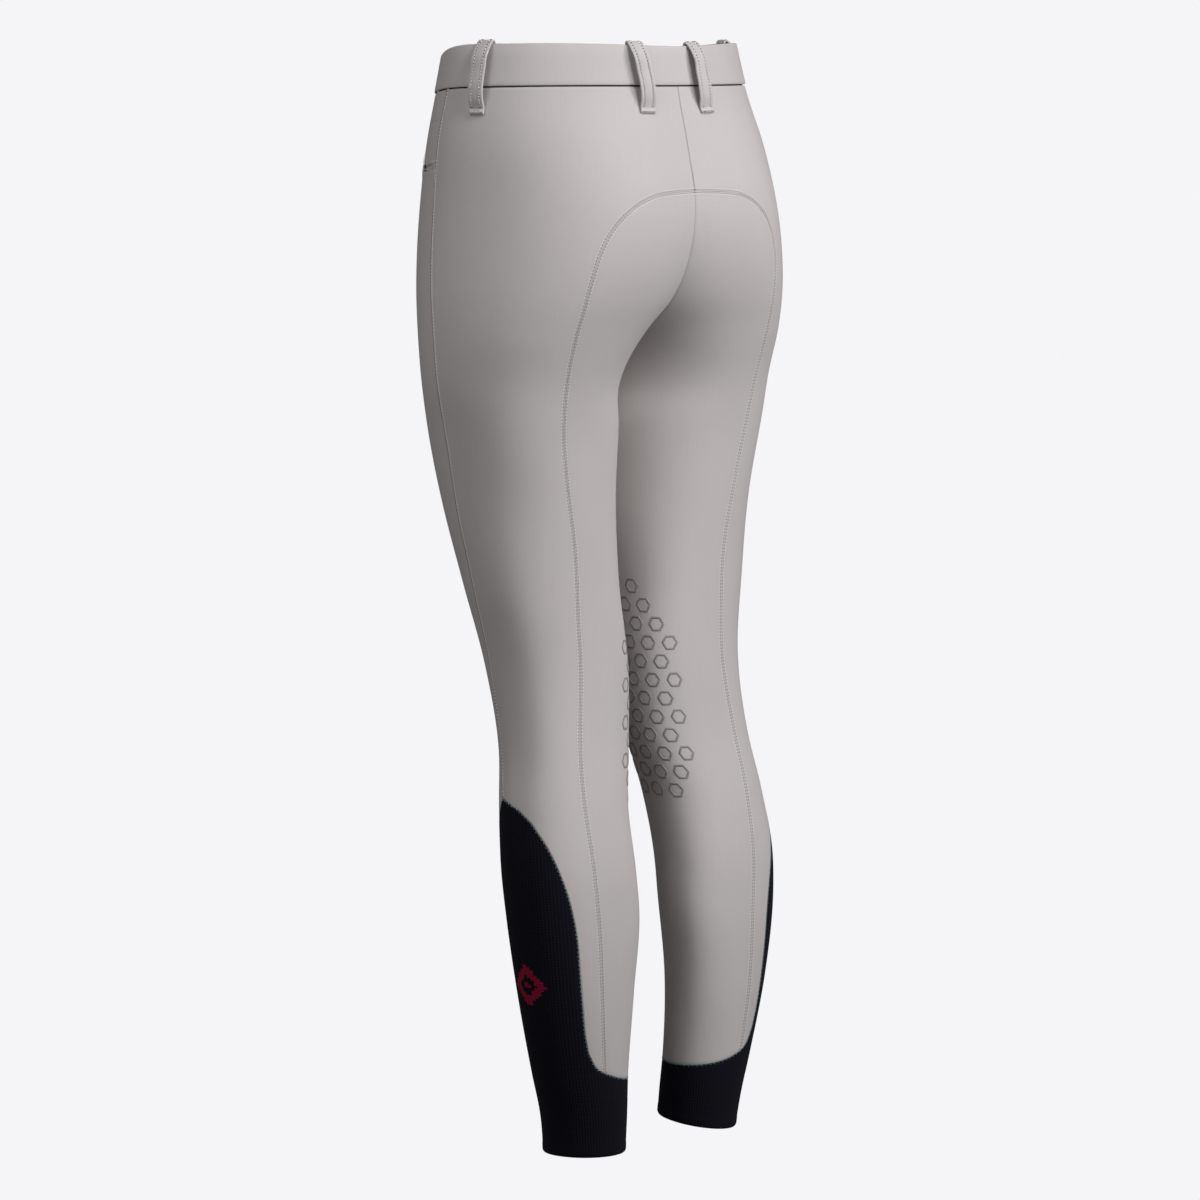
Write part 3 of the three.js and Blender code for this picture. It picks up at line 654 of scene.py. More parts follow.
def rib_knit(name, with_mark):
    """Ribbed knit. The flat measure is degrees round the leg and metres up."""
    finish = Finish(name)
    u, v = finish.flat()
    rib = (u * (WAVE / RIB_ANGLE)).sine()
    lean = ((u / RIB_ANGLE).part() - 0.5).size() * COURSE
    loops = ((v + lean) * (WAVE / COURSE)).sine()
    fuzz = finish.noise(900.0, 2.0)
    height = rib * 0.6 + loops * 0.4
    tone = (height * 0.22 + 0.35 + fuzz * 0.3).clamped()
    knit = finish.mix(tone, colour(5, 5, 12), colour(21, 20, 33))
    if with_mark:
        step_u = (u / RIB_ANGLE).floor() * RIB_ANGLE + RIB_ANGLE / 2
        step_v = (v / COURSE).floor() * COURSE + COURSE / 2
        reach = ((step_u - MARK_ANGLE) / MARK_HALF_ANGLE).size() + ((step_v - MARK_Z) / MARK_HALF_HEIGHT).size()
        ring = (reach < 1.0) * (reach > 0.52) + (reach < 0.2)
        yarn = finish.mix(tone, colour(108, 6, 34), colour(172, 20, 64))
        knit = finish.mix(ring.clamped(), knit, yarn)
    finish.set(base_color=knit, roughness=fuzz * 0.1 + 0.82)
    finish.shader.inputs["Sheen Weight"].default_value = 0.02
    finish.shader.inputs["Sheen Roughness"].default_value = 0.5
    finish.shader.inputs["Specular IOR Level"].default_value = 0.12
    finish.bump(height, 0.5, 0.0006)
    return finish.material


def grip_print():
    finish = Finish("silicone grip")
    cloud = finish.noise(300.0, 2.0)
    finish.set(base_color=finish.mix(cloud, colour(138, 132, 131), colour(158, 152, 151)))
    finish.set(roughness=cloud * 0.15 + 0.42)
    finish.bump(cloud, 0.2, 0.0002)
    return finish.material


def thread(name, light, dark):
    finish = Finish(name)
    twist = finish.noise(1500.0, 2.0)
    finish.set(base_color=finish.mix(twist, colour(*dark), colour(*light)), roughness=twist * 0.2 + 0.6)
    finish.bump(twist, 0.3, 0.0001)
    return finish.material


def dark_tape():
    finish = Finish("woven dark tape")
    speck = finish.noise(1400.0, 1.0)
    u, v = finish.flat()
    weave = (u * (WAVE / 0.002)).sine() * (v * (WAVE / 0.002)).sine()
    tone = (speck * 2.2 - 0.75 + weave * 0.15).clamped()
    finish.set(base_color=finish.mix(tone, colour(8, 8, 14), colour(74, 64, 64)), roughness=speck * 0.1 + 0.8)
    finish.bump(weave, 0.4, 0.0003)
    return finish.material


def button_metal():
    finish = Finish("satin metal")
    grain = finish.noise(600.0, 3.0)
    finish.set(base_color=finish.mix(grain, colour(120, 116, 112), colour(168, 164, 160)))
    finish.set(metallic=1.0, roughness=grain * 0.15 + 0.3)
    finish.bump(grain, 0.1, 0.0001)
    return finish.material


CLOTH_FINISH = stretch_cloth()
KNIT_FINISH = rib_knit("rib knit", False)
MARKED_KNIT_FINISH = rib_knit("rib knit with mark", True)
GRIP_FINISH = grip_print()
SEAM_THREAD = thread("seam thread", (84, 78, 78), (50, 45, 46))
TOP_THREAD = thread("topstitch thread", (250, 247, 245), (228, 223, 221))
# The belt loops' dark stitches are painted shade: dark blocks for the shade between the pale stitches and under the bar
# at each loop's foot
LOOP_PAINTED_SHADE = thread("belt loop painted shade", (118, 112, 111), (84, 79, 79))
JOIN_THREAD = thread("cuff join thread", (140, 172, 168), (84, 112, 112))
TAPE_FINISH = dark_tape()
METAL_FINISH = button_metal()

# Panels

SEAM = (0.5, 0.75)  # how deep and how wide cloth rolls into a seam
SOFT = (0.4, 1.2)
PANEL_STEPS = 84


def outer_places():
    return panel_places(
        straight(OUT_WAIST[0], BACK_WAIST[0], waist_place),
        flare_back,
        side_of(
            (outseam_upper, POCKET_ROWS), (outseam_lower, OUTSEAM_ROWS), (tip_back, TIP_ROWS), (tongue_back, TONGUE_ROWS)
        ),
        side_of((centre_back, RISE_ROWS), (seat_seam, SEAT_ROWS)),
        SIDE_ROWS,
        PANEL_STEPS,
    )


def seat_places():
    return panel_places(
        crotch_edge(), sock_inner, side_of((seat_seam, SEAT_ROWS)), side_of((inner_seam, SEAT_ROWS)), SEAT_ROWS, 100
    )


def front_places():
    return panel_places(
        straight(FRONT_WAIST[0], MOUTH_TOP[0], waist_place) + WHOLE_TURN,
        flare_front,
        side_of((centre_front, RISE_ROWS), (inner_seam, SEAT_ROWS)),
        side_of(
            (pocket_mouth + WHOLE_TURN, POCKET_ROWS),
            (outseam_lower + WHOLE_TURN, OUTSEAM_ROWS),
            (tip_front[::-1], TIP_ROWS),
            (tongue_front[::-1], TONGUE_ROWS),
        ),
        SIDE_ROWS,
        PANEL_STEPS,
    )


def facing_places():
    behind = POCKET_ROWS - 2
    mouth = along(pocket_mouth, np.linspace(0, 1, POCKET_ROWS + 1))
    share = np.arange(behind + 1) / behind
    start = mouth[: behind + 1].copy()
    start[:, 0] -= FACING_TURN * np.cos(math.pi / 2 * share)
    start[:, 1] -= FACING_MARGIN * np.sin(math.pi * share)
    start[0] = waist_place(MOUTH_TOP[0] - FACING_TURN)
    return panel_places(
        straight(start[0][0], OUT_WAIST[0], waist_place),
        along(pocket_mouth, np.linspace(behind / POCKET_ROWS, 1, 40)),
        side_of((curve(start), POCKET_ROWS)),
        side_of((outseam_upper, POCKET_ROWS)),
        POCKET_ROWS,
        60,
    )


def ease_in(value, start, end):
    share = np.clip((value - start) / (end - start), 0, 1)
    return share * share * (3 - 2 * share)


def facing_depth(angle, z, distance):
    """The facing lies level with the outer panel and goes behind the front panel at the mouth."""
    lowest = int(np.argmin(pocket_mouth[:, 1]))
    edge = np.interp(-z, -pocket_mouth[: lowest + 1, 1], pocket_mouth[: lowest + 1, 0])
    under = ease_in(-z, *FACING_LOW) * ease_in(-angle, *FACING_SINKS)
    return -FACING_SUNK * np.maximum(under, ease_in(edge - angle, *FACING_DIVES))


def mouth_lift(angle, z, distance):
    """The folded edge of the pocket mouth stands a little proud."""
    z_share = np.clip((z + 122) / 14, 0, 1)
    return 0.7 * z_share * np.exp(-((distance["end"] / 12) ** 4))


SHEETS = []


def declare(node):
    """Hides the imported part that a piece of this script rebuilds."""
    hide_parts(node)


def panels(side):
    mirrored = side == "right"
    seams = {"start": SEAM, "end": SEAM, "top": SOFT, "bottom": SOFT}
    made = [
        ("outer_panel", outer_places(), seams, None),
        ("seat_panel", seat_places(), seams, None),
        ("front_panel", front_places(), seams, mouth_lift),
        ("pocket_facing", facing_places(), {"end": SEAM, "top": SOFT}, facing_depth),
    ]
    for kind, places, edges, proud in made:
        node = f"{kind}_{side}"
        piece = cloth_piece(
            f"{kind}_{side}_cloth", places, edges, CLOTH_FINISH, mirrored, proud
        )
        declare(node)


# Socks

def hem_height(side, angle):
    if side == "left":
        return np.full_like(angle, HEM_LEFT)
    foot = FORM[-1]
    point = form_point(angle, np.full_like(angle, HEM_RIGHT))
    across = point[..., 0] - (foot[OUT_X] + foot[IN_X]) / 2
    way = point[..., 1] - (foot[BACK_Y] + foot[FRONT_Y]) / 2
    return HEM_RIGHT - HEM_RIGHT_TILT_X * across + HEM_RIGHT_TILT_Y * way


def sock(side):
    mirrored = side == "right"
    tip_steps = 2 * TIP_ROWS * 6
    rows = TONGUE_ROWS * 7
    even = np.linspace(0, 1, tip_steps // 2 + 1)
    tip = np.concatenate((along(tip_front - WHOLE_TURN, even), along(tip_back, even)[1:]))
    foot = along(np.array([tongue_front[0] - WHOLE_TURN, tongue_back[-1]]), np.linspace(0, 1, tip_steps + 1))
    down = np.linspace(0, 1, rows + 1)
    start = along(tongue_front[::-1] - WHOLE_TURN, down)
    end = along(tongue_back, down)
    s = np.linspace(0, 1, tip_steps + 1)[None, :, None]
    t = down[:, None, None]
    tongue = (1 - t) * tip[None] + t * foot[None] + (1 - s) * start[:, None] + s * end[:, None]
    tongue = tongue - (1 - t) * ((1 - s) * tip[0] + s * tip[-1]) - t * ((1 - s) * foot[0] + s * foot[-1])

    flare = np.linspace(0, 1, 61)
    inner = np.linspace(0, 1, 85)
    runs = [foot, along(flare_back, flare), along(sock_inner, inner), along(flare_front, flare)]
    edge = np.concatenate([runs[0]] + [run[1:] for run in runs[1:]])
    spread = [(-55, 45), (45, 92), (92, 228), (228, 305)]
    hem = np.concatenate(
        [np.linspace(*spread[0], len(runs[0]))]
        + [np.linspace(*ends, len(run))[1:] for ends, run in zip(spread[1:], runs[1:])]
    )
    hem_places = np.stack([hem, hem_height(side, hem)], 1)
    shares = np.concatenate((np.linspace(0, 0.9, 26), [0.93, 0.95, 0.965, 0.98, 0.99, 1.0]))[:, None, None]
    cuff = (1 - shares) * edge[None] + shares * hem_places[None]

    points, faces, uvs = [], [], []
    first = 0
    for grid in (tongue, cuff):
        base = form_point(grid[..., 0], grid[..., 1])
        normal = normal_of(form_point, grid[..., 0], grid[..., 1], 0.4)
        distance = edge_distances(base)
        if grid is cuff:
            on_foot = np.arange(grid.shape[1])[None] < len(runs[0])
            sunk = np.where(on_foot, 0, 0.75 * np.exp(-((distance["top"] / 1.6) ** 2)))
            sunk = sunk + 0.9 * np.exp(-((distance["bottom"] / 0.9) ** 2))
            sunk = sunk - 0.35 * np.exp(-((distance["bottom"] / 8) ** 8))
        else:
            near = np.minimum(np.minimum(distance["start"], distance["end"]), distance["top"])
            sunk = 0.75 * np.exp(-((near / 1.6) ** 2))
        base = base - normal * sunk[..., None]
        points.append(base.reshape(-1, 3))
        uvs.append(np.stack([grid[..., 0], grid[..., 1] * MM], -1).reshape(-1, 2))
        faces += grid_faces(*grid.shape[:2], False, first)
        first += base.shape[0] * base.shape[1]
    points = np.concatenate(points)
    if mirrored:
        points[:, 0] *= -1
        faces = [face[::-1] for face in faces]
    finish = KNIT_FINISH if mirrored else MARKED_KNIT_FINISH
    piece = put_mesh(f"sock_{side}_knit", points, faces, finish, np.concatenate(uvs))
    weld(piece)
    thicken(piece, KNIT)
    declare(f"sock_{side}")


def weld(piece, distance=0.02):
    modifier = piece.modifiers.new("weld", "WELD")
    modifier.merge_threshold = distance * MM


# Waist

def overlap_lift(share):
    return BAND_PROUD + (BAND_WALL + 2 * SEAM_GAP) * ease_in(share, 0.9, 0.96)


def ring_strip(name, shares, profile, top, low, lift, material):
    """A closed strip round the waist. The profile gives depth and height of its section,
    with heights below 0 measured down from the top edge."""
    rings = []
    uvs = []
    angle = waist_angle(shares)
    for depth, height in profile:
        z = np.where(height < 0, top(angle) + height, low(angle) + height)
        out = normal_of(waist_point, shares, z, 0.002)
        rings.append(waist_point(shares, z) + out * (lift(shares) - depth)[:, None])
        uvs.append(np.stack([shares * 0.39, z * MM], -1))
    points = np.stack(rings, 1)
    count = len(profile)
    faces = []
    for i in range(len(shares) - 1):
        for k in range(count):
            a = i * count + k
            b = i * count + (k + 1) % count
            faces.append((b, b + count, a + count, a))
    last = (len(shares) - 1) * count
    faces.append(tuple(range(count)))
    faces.append(tuple(last + k for k in reversed(range(count))))
    return put_mesh(name, points, faces, material, np.stack(uvs, 1))


def band_profile(wall, bend, outer_rows, inner_rows, height):
    """Section of a folded strip: up its outer face, over the top and down inside."""
    lower = [(bend * 0.9, 1e-6), (bend * 0.3, bend * 0.3), (0, bend)]
    outer = [(0, bend + (height - 2 * bend) * k / outer_rows) for k in range(1, outer_rows)]
    upper = [(0, -bend), (bend * 0.3, -bend * 0.3), (bend * 0.9, -1e-6), (wall - bend * 0.3, -bend * 0.3), (wall, -bend)]
    inner = [(wall, bend + (height - 2 * bend) * k / inner_rows) for k in range(inner_rows - 1, 0, -1)]
    return lower + outer + upper + inner + [(wall, bend), (wall - bend * 0.3, bend * 0.3)]


def waistband():
    shares = np.linspace(UNDERLAP_END, OVERLAP_END, 420)
    profile = band_profile(BAND_WALL, 1.0, 7, 4, 28)
    piece = ring_strip("waistband_cloth", shares, profile, band_top, band_low, overlap_lift, CLOTH_FINISH)
    declare("waistband")


def waist_tape():
    shares = np.linspace(-TAPE_END, TAPE_END, 360)

    def top(angle):
        return band_low(angle) + TAPE_HEIGHT / 2

    def low(angle):
        return band_low(angle) - WAIST_GAP - TAPE_HEIGHT / 2

    def lift(share):
        forward = -waist_angle(share)
        behind = ease_in(forward, *TAPE_SINKS) - ease_in(forward, *TAPE_RISES)
        return -CLOTH - 3 * SEAM_GAP - (FACING_SUNK + 2 * SEAM_GAP) * behind

    profile = band_profile(1.0, 0.4, 3, 2, 12)
    piece = ring_strip("waist_tape_cloth", shares, profile, top, low, lift, TAPE_FINISH)
    declare("waist_tape")


def fly_placket():
    shares = np.linspace(1 - PLACKET_HALF, 1 + PLACKET_HALF, 40)

    def top(angle):
        return band_low(angle) - WAIST_GAP - TAPE_HEIGHT / 2 - 2

    def low(angle):
        return np.full_like(angle, PLACKET_LOW)

    def lift(share):
        return np.full_like(share, -CLOTH - 4 * SEAM_GAP)

    profile = band_profile(1.0, 0.4, 16, 10, 110)
    piece = ring_strip("fly_placket_cloth", shares, profile, top, low, lift, CLOTH_FINISH)
    declare("fly_placket")


def loop_route(top, low):
    """Points of a belt loop's middle line as depth in front of the cloth and height."""
    half = LOOP_WALL / 2
    inside = BAND_PROUD - BAND_WALL - LOOP_EASE - half
    outside = BAND_PROUD + LOOP_EASE + half
    standing = LOOP_STANDOFF + half
    sewn = LOOP_EASE + half
    return np.array([
        (inside, top - LOOP_HEM),
        (inside, top + 0.2),
        ((inside + outside) / 2, top + LOOP_RISE + half),
        (outside + 1, top - 0.5),
        (standing, top - 11),
        (standing, (top + low) / 2 - 4),
        (standing, low + 1),
        (standing - 2.4, low - 10),
        (sewn, low - LOOP_TAIL + 4),
        (sewn - 0.1, low - LOOP_TAIL),
    ])


def loop_frames(name, count):
    """Centre, outward way and sideways way at each station of a belt loop of the left half."""
    at_top, at_foot = LOOPS[name]
    top = float(band_top(at_top))
    low = float(band_low(at_foot))
    route = loop_route(top, low)
    chord = np.concatenate(([0], np.cumsum(np.sqrt(np.hypot(*np.diff(route, axis=0).T)))))
    fine = np.linspace(0, chord[-1], 400)
    line = np.stack([smooth(np.column_stack((chord, route[:, k])), 1, fine) for k in (0, 1)], 1)
    run = np.concatenate(([0], np.cumsum(np.hypot(*np.diff(line, axis=0).T))))
    want = np.linspace(0, run[-1], count)
    depth = np.interp(want, run, line[:, 0])
    height = np.interp(want, run, line[:, 1])
    way = unit(np.stack([np.gradient(depth), np.gradient(height)], 1))
    angles = at_top + (at_foot - at_top) * (top - height) / (top - low + LOOP_TAIL)
    out = normal_of(form_point, angles, height, 0.4)
    out[:, 2] = 0
    out = unit(out)
    ends = form_point(np.array([at_top - 3.0, at_top + 3.0]), np.array([top, top]))
    slope = float(band_top(at_top + 3) - band_top(at_top - 3)) / np.linalg.norm(ends[1] - ends[0])
    sideways = np.stack([-out[:, 1], out[:, 0], np.full(count, slope)], 1)
    centre = form_point(angles, height) + out * depth[:, None]
    face = out * -way[:, 1:2]
    face[:, 2] = way[:, 0]
    return centre, face, sideways


HALF_LOOP = LOOP_WIDTH / 2
LOOP_ROW = HALF_LOOP - 3.2  # from the middle to each row of stitches
# Section of a strap: across it, then out of it, with a shallow groove under each row
LOOP_SECTION = [
    (-HALF_LOOP, 0.3), (-HALF_LOOP + 0.4, 0.8), (-LOOP_ROW - 1, 0.85), (-LOOP_ROW - 0.4, 0.62),
    (-LOOP_ROW + 0.4, 0.62), (-LOOP_ROW + 1, 0.85), (0, 0.8), (LOOP_ROW - 1, 0.85),
    (LOOP_ROW - 0.4, 0.62), (LOOP_ROW + 0.4, 0.62), (LOOP_ROW + 1, 0.85), (HALF_LOOP - 0.4, 0.8),
    (HALF_LOOP, 0.3), (HALF_LOOP, -0.6), (HALF_LOOP - 0.4, -0.8), (0, -0.8), (-HALF_LOOP + 0.4, -0.8),
    (-HALF_LOOP, -0.6),
]


def belt_loop(name):
    mirrored = name.endswith("right")
    count = 90
    centre, face, sideways = loop_frames(name, count)
    section = np.array(LOOP_SECTION)
    points = (
        centre[:, None]
        + sideways[:, None] * section[None, :, :1]
        + face[:, None] * section[None, :, 1:]
    )
    if mirrored:
        points[..., 0] *= -1
    ring = len(section)
    faces = []
    for i in range(count - 1):
        for k in range(ring):
            a = i * ring + k
            b = i * ring + (k + 1) % ring
            faces.append((a, a + ring, b + ring, b))
    faces.append(tuple(range(ring)))
    faces.append(tuple((count - 1) * ring + k for k in reversed(range(ring))))
    if mirrored:
        faces = [f[::-1] for f in faces]
    run = np.linspace(0, 0.09, count)
    uvs = np.stack(np.broadcast_arrays(section[None, :, 0] * MM, run[:, None]), -1)
    node = f"belt_loop_{name}"
    piece = put_mesh(f"{node}_cloth", points, faces, CLOTH_FINISH, uvs)
    declare(node)


# Stitches

STITCH_FACES = [
    (0, 1, 7, 6), (1, 2, 7), (2, 3, 7), (3, 4, 6, 7), (4, 5, 6), (5, 0, 6), (5, 4, 3, 2, 1, 0),
]


def stitch_block(centre, way, sideways, out, length, width, height):
    """Corners of small raised stitches, one for each row of the given places."""
    half = length / 2
    shape = [
        (-half * 0.7, -width / 2, 0), (half * 0.7, -width / 2, 0), (half, 0, 0),
        (half * 0.7, width / 2, 0), (-half * 0.7, width / 2, 0), (-half, 0, 0),
        (-half * 0.6, 0, height), (half * 0.6, 0, height),
    ]
    corners = [
        centre + way * a + sideways * b + out * (c - 0.12)
        for a, b, c in shape
    ]
    return np.stack(corners, 1)


def stitches(name, blocks, material):
    """One mesh of many stitches. Each block is an array of stitches by eight corners."""
    points = np.concatenate(blocks)
    faces = []
    for k in range(len(points)):
        faces += [tuple(8 * k + corner for corner in face) for face in STITCH_FACES]
    return put_mesh(name, points, faces, material, smooth_shade=False)


def stitch_line(line, offset, pitch, length, width, height, turn=0.0, lift=0.0, skip=0.5):
    """Stitches beside a seam line on the left half, offset across it."""
    points = form_point(line[:, 0], line[:, 1])
    total = np.linalg.norm(np.diff(points, axis=0), axis=1).sum()
    count = int(total / pitch)
    shares = (np.arange(count) + skip) / count
    places = along(line, shares)
    near = along(line, np.clip(shares + 0.3 / total, 0, 1))
    far = along(line, np.clip(shares - 0.3 / total, 0, 1))
    way = unit(form_point(near[:, 0], near[:, 1]) - form_point(far[:, 0], far[:, 1]))
    out = normal_of(form_point, places[:, 0], places[:, 1], 0.4)
    sideways = np.cross(out, way)
    centre = form_point(places[:, 0], places[:, 1]) + sideways * offset + out * lift
    if turn:
        bend = np.radians(turn) * np.where(np.arange(count) % 2, 1, -1)[:, None]
        way, sideways = way * np.cos(bend) + sideways * np.sin(bend), sideways * np.cos(bend) - way * np.sin(bend)
    return stitch_block(centre, way, sideways, out, length, width, height)


def mirror_blocks(blocks):
    flipped = []
    for block in blocks:
        copy = block.copy()
        copy[..., 0] *= -1
        # Mirrored corners run the other way round, so each stitch's sides change places
        flipped.append(copy[:, [4, 3, 2, 1, 0, 5, 6, 7]])
    return flipped


FACING_CREASE = [(-47, -72), (-30, -68), (-13, -64)]
# Fly stitching: distance from the middle of the front, then height
FLY_STITCHING = [(36, -58), (36, -90), (36, -120), (33, -140), (24, -156), (10, -164), (2, -166)]


def fly_line(inset):
    places = []
    for across, z in FLY_STITCHING:
        middle = float(cut_angle(z, False))
        places.append((leg_walk(middle, z, max(across - inset, 1)), z + inset * (z < -130)))
    return curve(places)


def seam_stitches():
    dark_row = dict(pitch=2.8, length=1.7, width=0.65, height=0.35)
    pale_row = dict(pitch=2.8, length=1.6, width=0.6, height=0.35)
    dark = []
    pale = []
    for line in (seat_seam, inner_seam):
        for offset in (-1.35, 1.35):
            dark.append(stitch_line(line, offset, **dark_row))
            pale.append(stitch_line(line, 1.8 * offset, skip=0.0, **pale_row))
    for line in (outseam_upper, outseam_lower):
        dark.append(stitch_line(line, -0.8, **dark_row))
        pale.append(stitch_line(line, 1.2, 3.0, 2.0, 1.4, 0.6, skip=0.0))
    for offset in (2.2, 6.5):
        pale.append(stitch_line(pocket_mouth, offset, lift=0.65, **pale_row))
    dark.append(stitch_line(curve(FACING_CREASE), 0, 1.4, 1.4, 0.5, 0.2))
    for side in ("left", "right"):
        # The fly's stitches run down the front that laps over the other
        lapped = [stitch_line(fly_line(inset), 0, **pale_row) for inset in (0, 5)] if side == "right" else []
        flip = mirror_blocks if side == "right" else list
        stitches(f"seam_stitches_{side}", flip(dark), SEAM_THREAD)
        stitches(f"topstitches_{side}", flip(pale + lapped), TOP_THREAD)
    middle = [stitch_line(line, 0, lift=-0.5, **dark_row) for line in (centre_back, crotch_edge(), centre_front)]
    stitches("middle_seam_stitches", middle, SEAM_THREAD)


def cuff_stitches():
    """Overlock loops of the cuff's knit caught over the cloth's edge."""
    lines = [tip_back, tongue_back, flare_back, sock_inner, flare_front, tongue_front, tip_front]
    blocks = []
    for line in lines:
        blocks.append(stitch_line(line, -0.4, 1.9, 2.4, 0.5, 0.4, turn=50, lift=-0.1))
    for side in ("left", "right"):
        flip = mirror_blocks if side == "right" else list
        stitches(f"cuff_join_{side}", flip(blocks), JOIN_THREAD)


LOOP_LEAN = 42  # degrees that the loops' stitches lean


def loop_stitches():
    for side in ("left", "right"):
        pale = []
        dark = []
        for name in LOOPS:
            if not name.endswith(side):
                continue
            centre, face, sideways = loop_frames(name, 260)
            way = unit(np.gradient(centre, axis=0))
            for offset in (-LOOP_ROW, LOOP_ROW):
                # The pale stitches lean one way. The dark ones lean the other way and are painted shade in the grooves
                # between them.
                for lean, blocks in ((LOOP_LEAN, pale), (-LOOP_LEAN, dark)):
                    pick = np.arange(26, 242, 9) + (4 if lean < 0 else 0)
                    bend = math.radians(lean)
                    along_way = way[pick] * math.cos(bend) + sideways[pick] * math.sin(bend)
                    across = sideways[pick] * math.cos(bend) - way[pick] * math.sin(bend)
                    spot = centre[pick] + sideways[pick] * offset + face[pick] * 0.76
                    blocks.append(stitch_block(spot, along_way, across, face[pick], 3.6, 1.2, 0.6))
            for step in np.linspace(1 - HALF_LOOP, HALF_LOOP - 1, 14):
                # The last, dark row across the bar is painted shade under it
                for row, blocks in ((246, pale), (251, pale), (256, dark)):
                    pick = np.array([row])
                    spot = centre[pick] + sideways[pick] * step + face[pick] * 0.8
                    blocks.append(stitch_block(spot, way[pick], sideways[pick], face[pick], 1.8, 0.6, 0.4))
        flip = mirror_blocks if side == "right" else list
        stitches(f"belt_loop_stitches_{side}", flip(pale), TOP_THREAD)
        stitches(f"belt_loop_shadow_stitches_{side}", flip(dark), LOOP_PAINTED_SHADE)


# Knee grips

GRIP_EDGE = np.array([
    (170, -458), (157, -466), (141, -480), (125, -506), (115, -545), (118, -580), (124, -615), (140, -640), (180, -655),
], float)
GRIP_MIDDLE = 186
GRIP_FAR_EDGE = 238
GRIP_ACROSS = 19.0
GRIP_DOWN = 16.0
GRIP_RADIUS = 6.2
GRIP_CORNERS = 24
GRIP_MIDDLE_Z = -563
# Section of a ring's line: across it, then up from the cloth
GRIP_SECTION = [(-1.1, -0.15), (-0.8, 0.35), (0.8, 0.35), (1.1, -0.15)]


def inside_grip(angle, z):
    """Whether a place on the leg lies in the grip patch."""
    heights = GRIP_EDGE[:, 1][::-1]
    if not heights[0] < z < heights[-1]:
        return False
    reach = np.interp(z, heights, GRIP_EDGE[:, 0][::-1])
    far = GRIP_MIDDLE + (GRIP_MIDDLE - reach) * (GRIP_FAR_EDGE - GRIP_MIDDLE) / (GRIP_MIDDLE - 115)
    return reach < angle < far


def mm_per_degree(angle, z):
    """Length of cloth that one degree takes at a place."""
    return float(np.linalg.norm(form_point(angle + 1, z) - form_point(angle - 1, z)) / 2)


def leg_walk(angle, z, across):
    """Angle reached by walking across the cloth from a place, in millimetres."""
    way = 1 if across > 0 else -1
    turns = angle + way * np.linspace(0, 120, 241)
    points = form_point(turns, np.full_like(turns, z))
    run = np.concatenate(([0], np.cumsum(np.linalg.norm(np.diff(points, axis=0), axis=1))))
    return float(np.interp(abs(across), run, turns))


def grip_ring(angle, z):
    """A raised ring with six sides, as a closed band of four points at each corner."""
    turn = np.radians(np.arange(GRIP_CORNERS) * 360 / GRIP_CORNERS)[:, None]
    sixth = math.pi / 3
    flat = math.cos(sixth / 2) / np.cos(turn % sixth - sixth / 2)
    section = np.array(GRIP_SECTION)
    radius = GRIP_RADIUS * flat + section[None, :, 0]
    spot_angle = angle + radius * np.cos(turn) / mm_per_degree(angle, z)
    spot_z = z + radius * np.sin(turn)
    out = normal_of(form_point, spot_angle, spot_z, 0.4)
    return form_point(spot_angle, spot_z) + out * section[None, :, 1:]


def knee_grips():
    """Small six-sided rings of raised print in a staggered layout."""
    rings = []
    for row in range(-8, 9):
        z = GRIP_MIDDLE_Z + row * GRIP_DOWN
        shift = 0.5 if row % 2 else 0.0
        for column in range(-8, 9):
            angle = leg_walk(GRIP_MIDDLE - 22, z, (column + shift) * GRIP_ACROSS)
            if inside_grip(angle, z):
                rings.append(grip_ring(angle, z))
    faces = []
    ring_size = GRIP_CORNERS * len(GRIP_SECTION)
    for ring in range(len(rings)):
        for k in range(GRIP_CORNERS):
            here = ring * ring_size + 4 * k
            beyond = ring * ring_size + 4 * ((k + 1) % GRIP_CORNERS)
            for j in range(4):
                after = (j + 1) % 4
                faces.append((here + j, beyond + j, beyond + after, here + after))
    for side in ("left", "right"):
        points = np.array(rings).reshape(-1, 3)
        order = faces
        if side == "right":
            points = points * np.array([-1, 1, 1])
            order = [face[::-1] for face in faces]
        put_mesh(f"knee_grip_{side}", points, order, GRIP_FINISH)


# Button

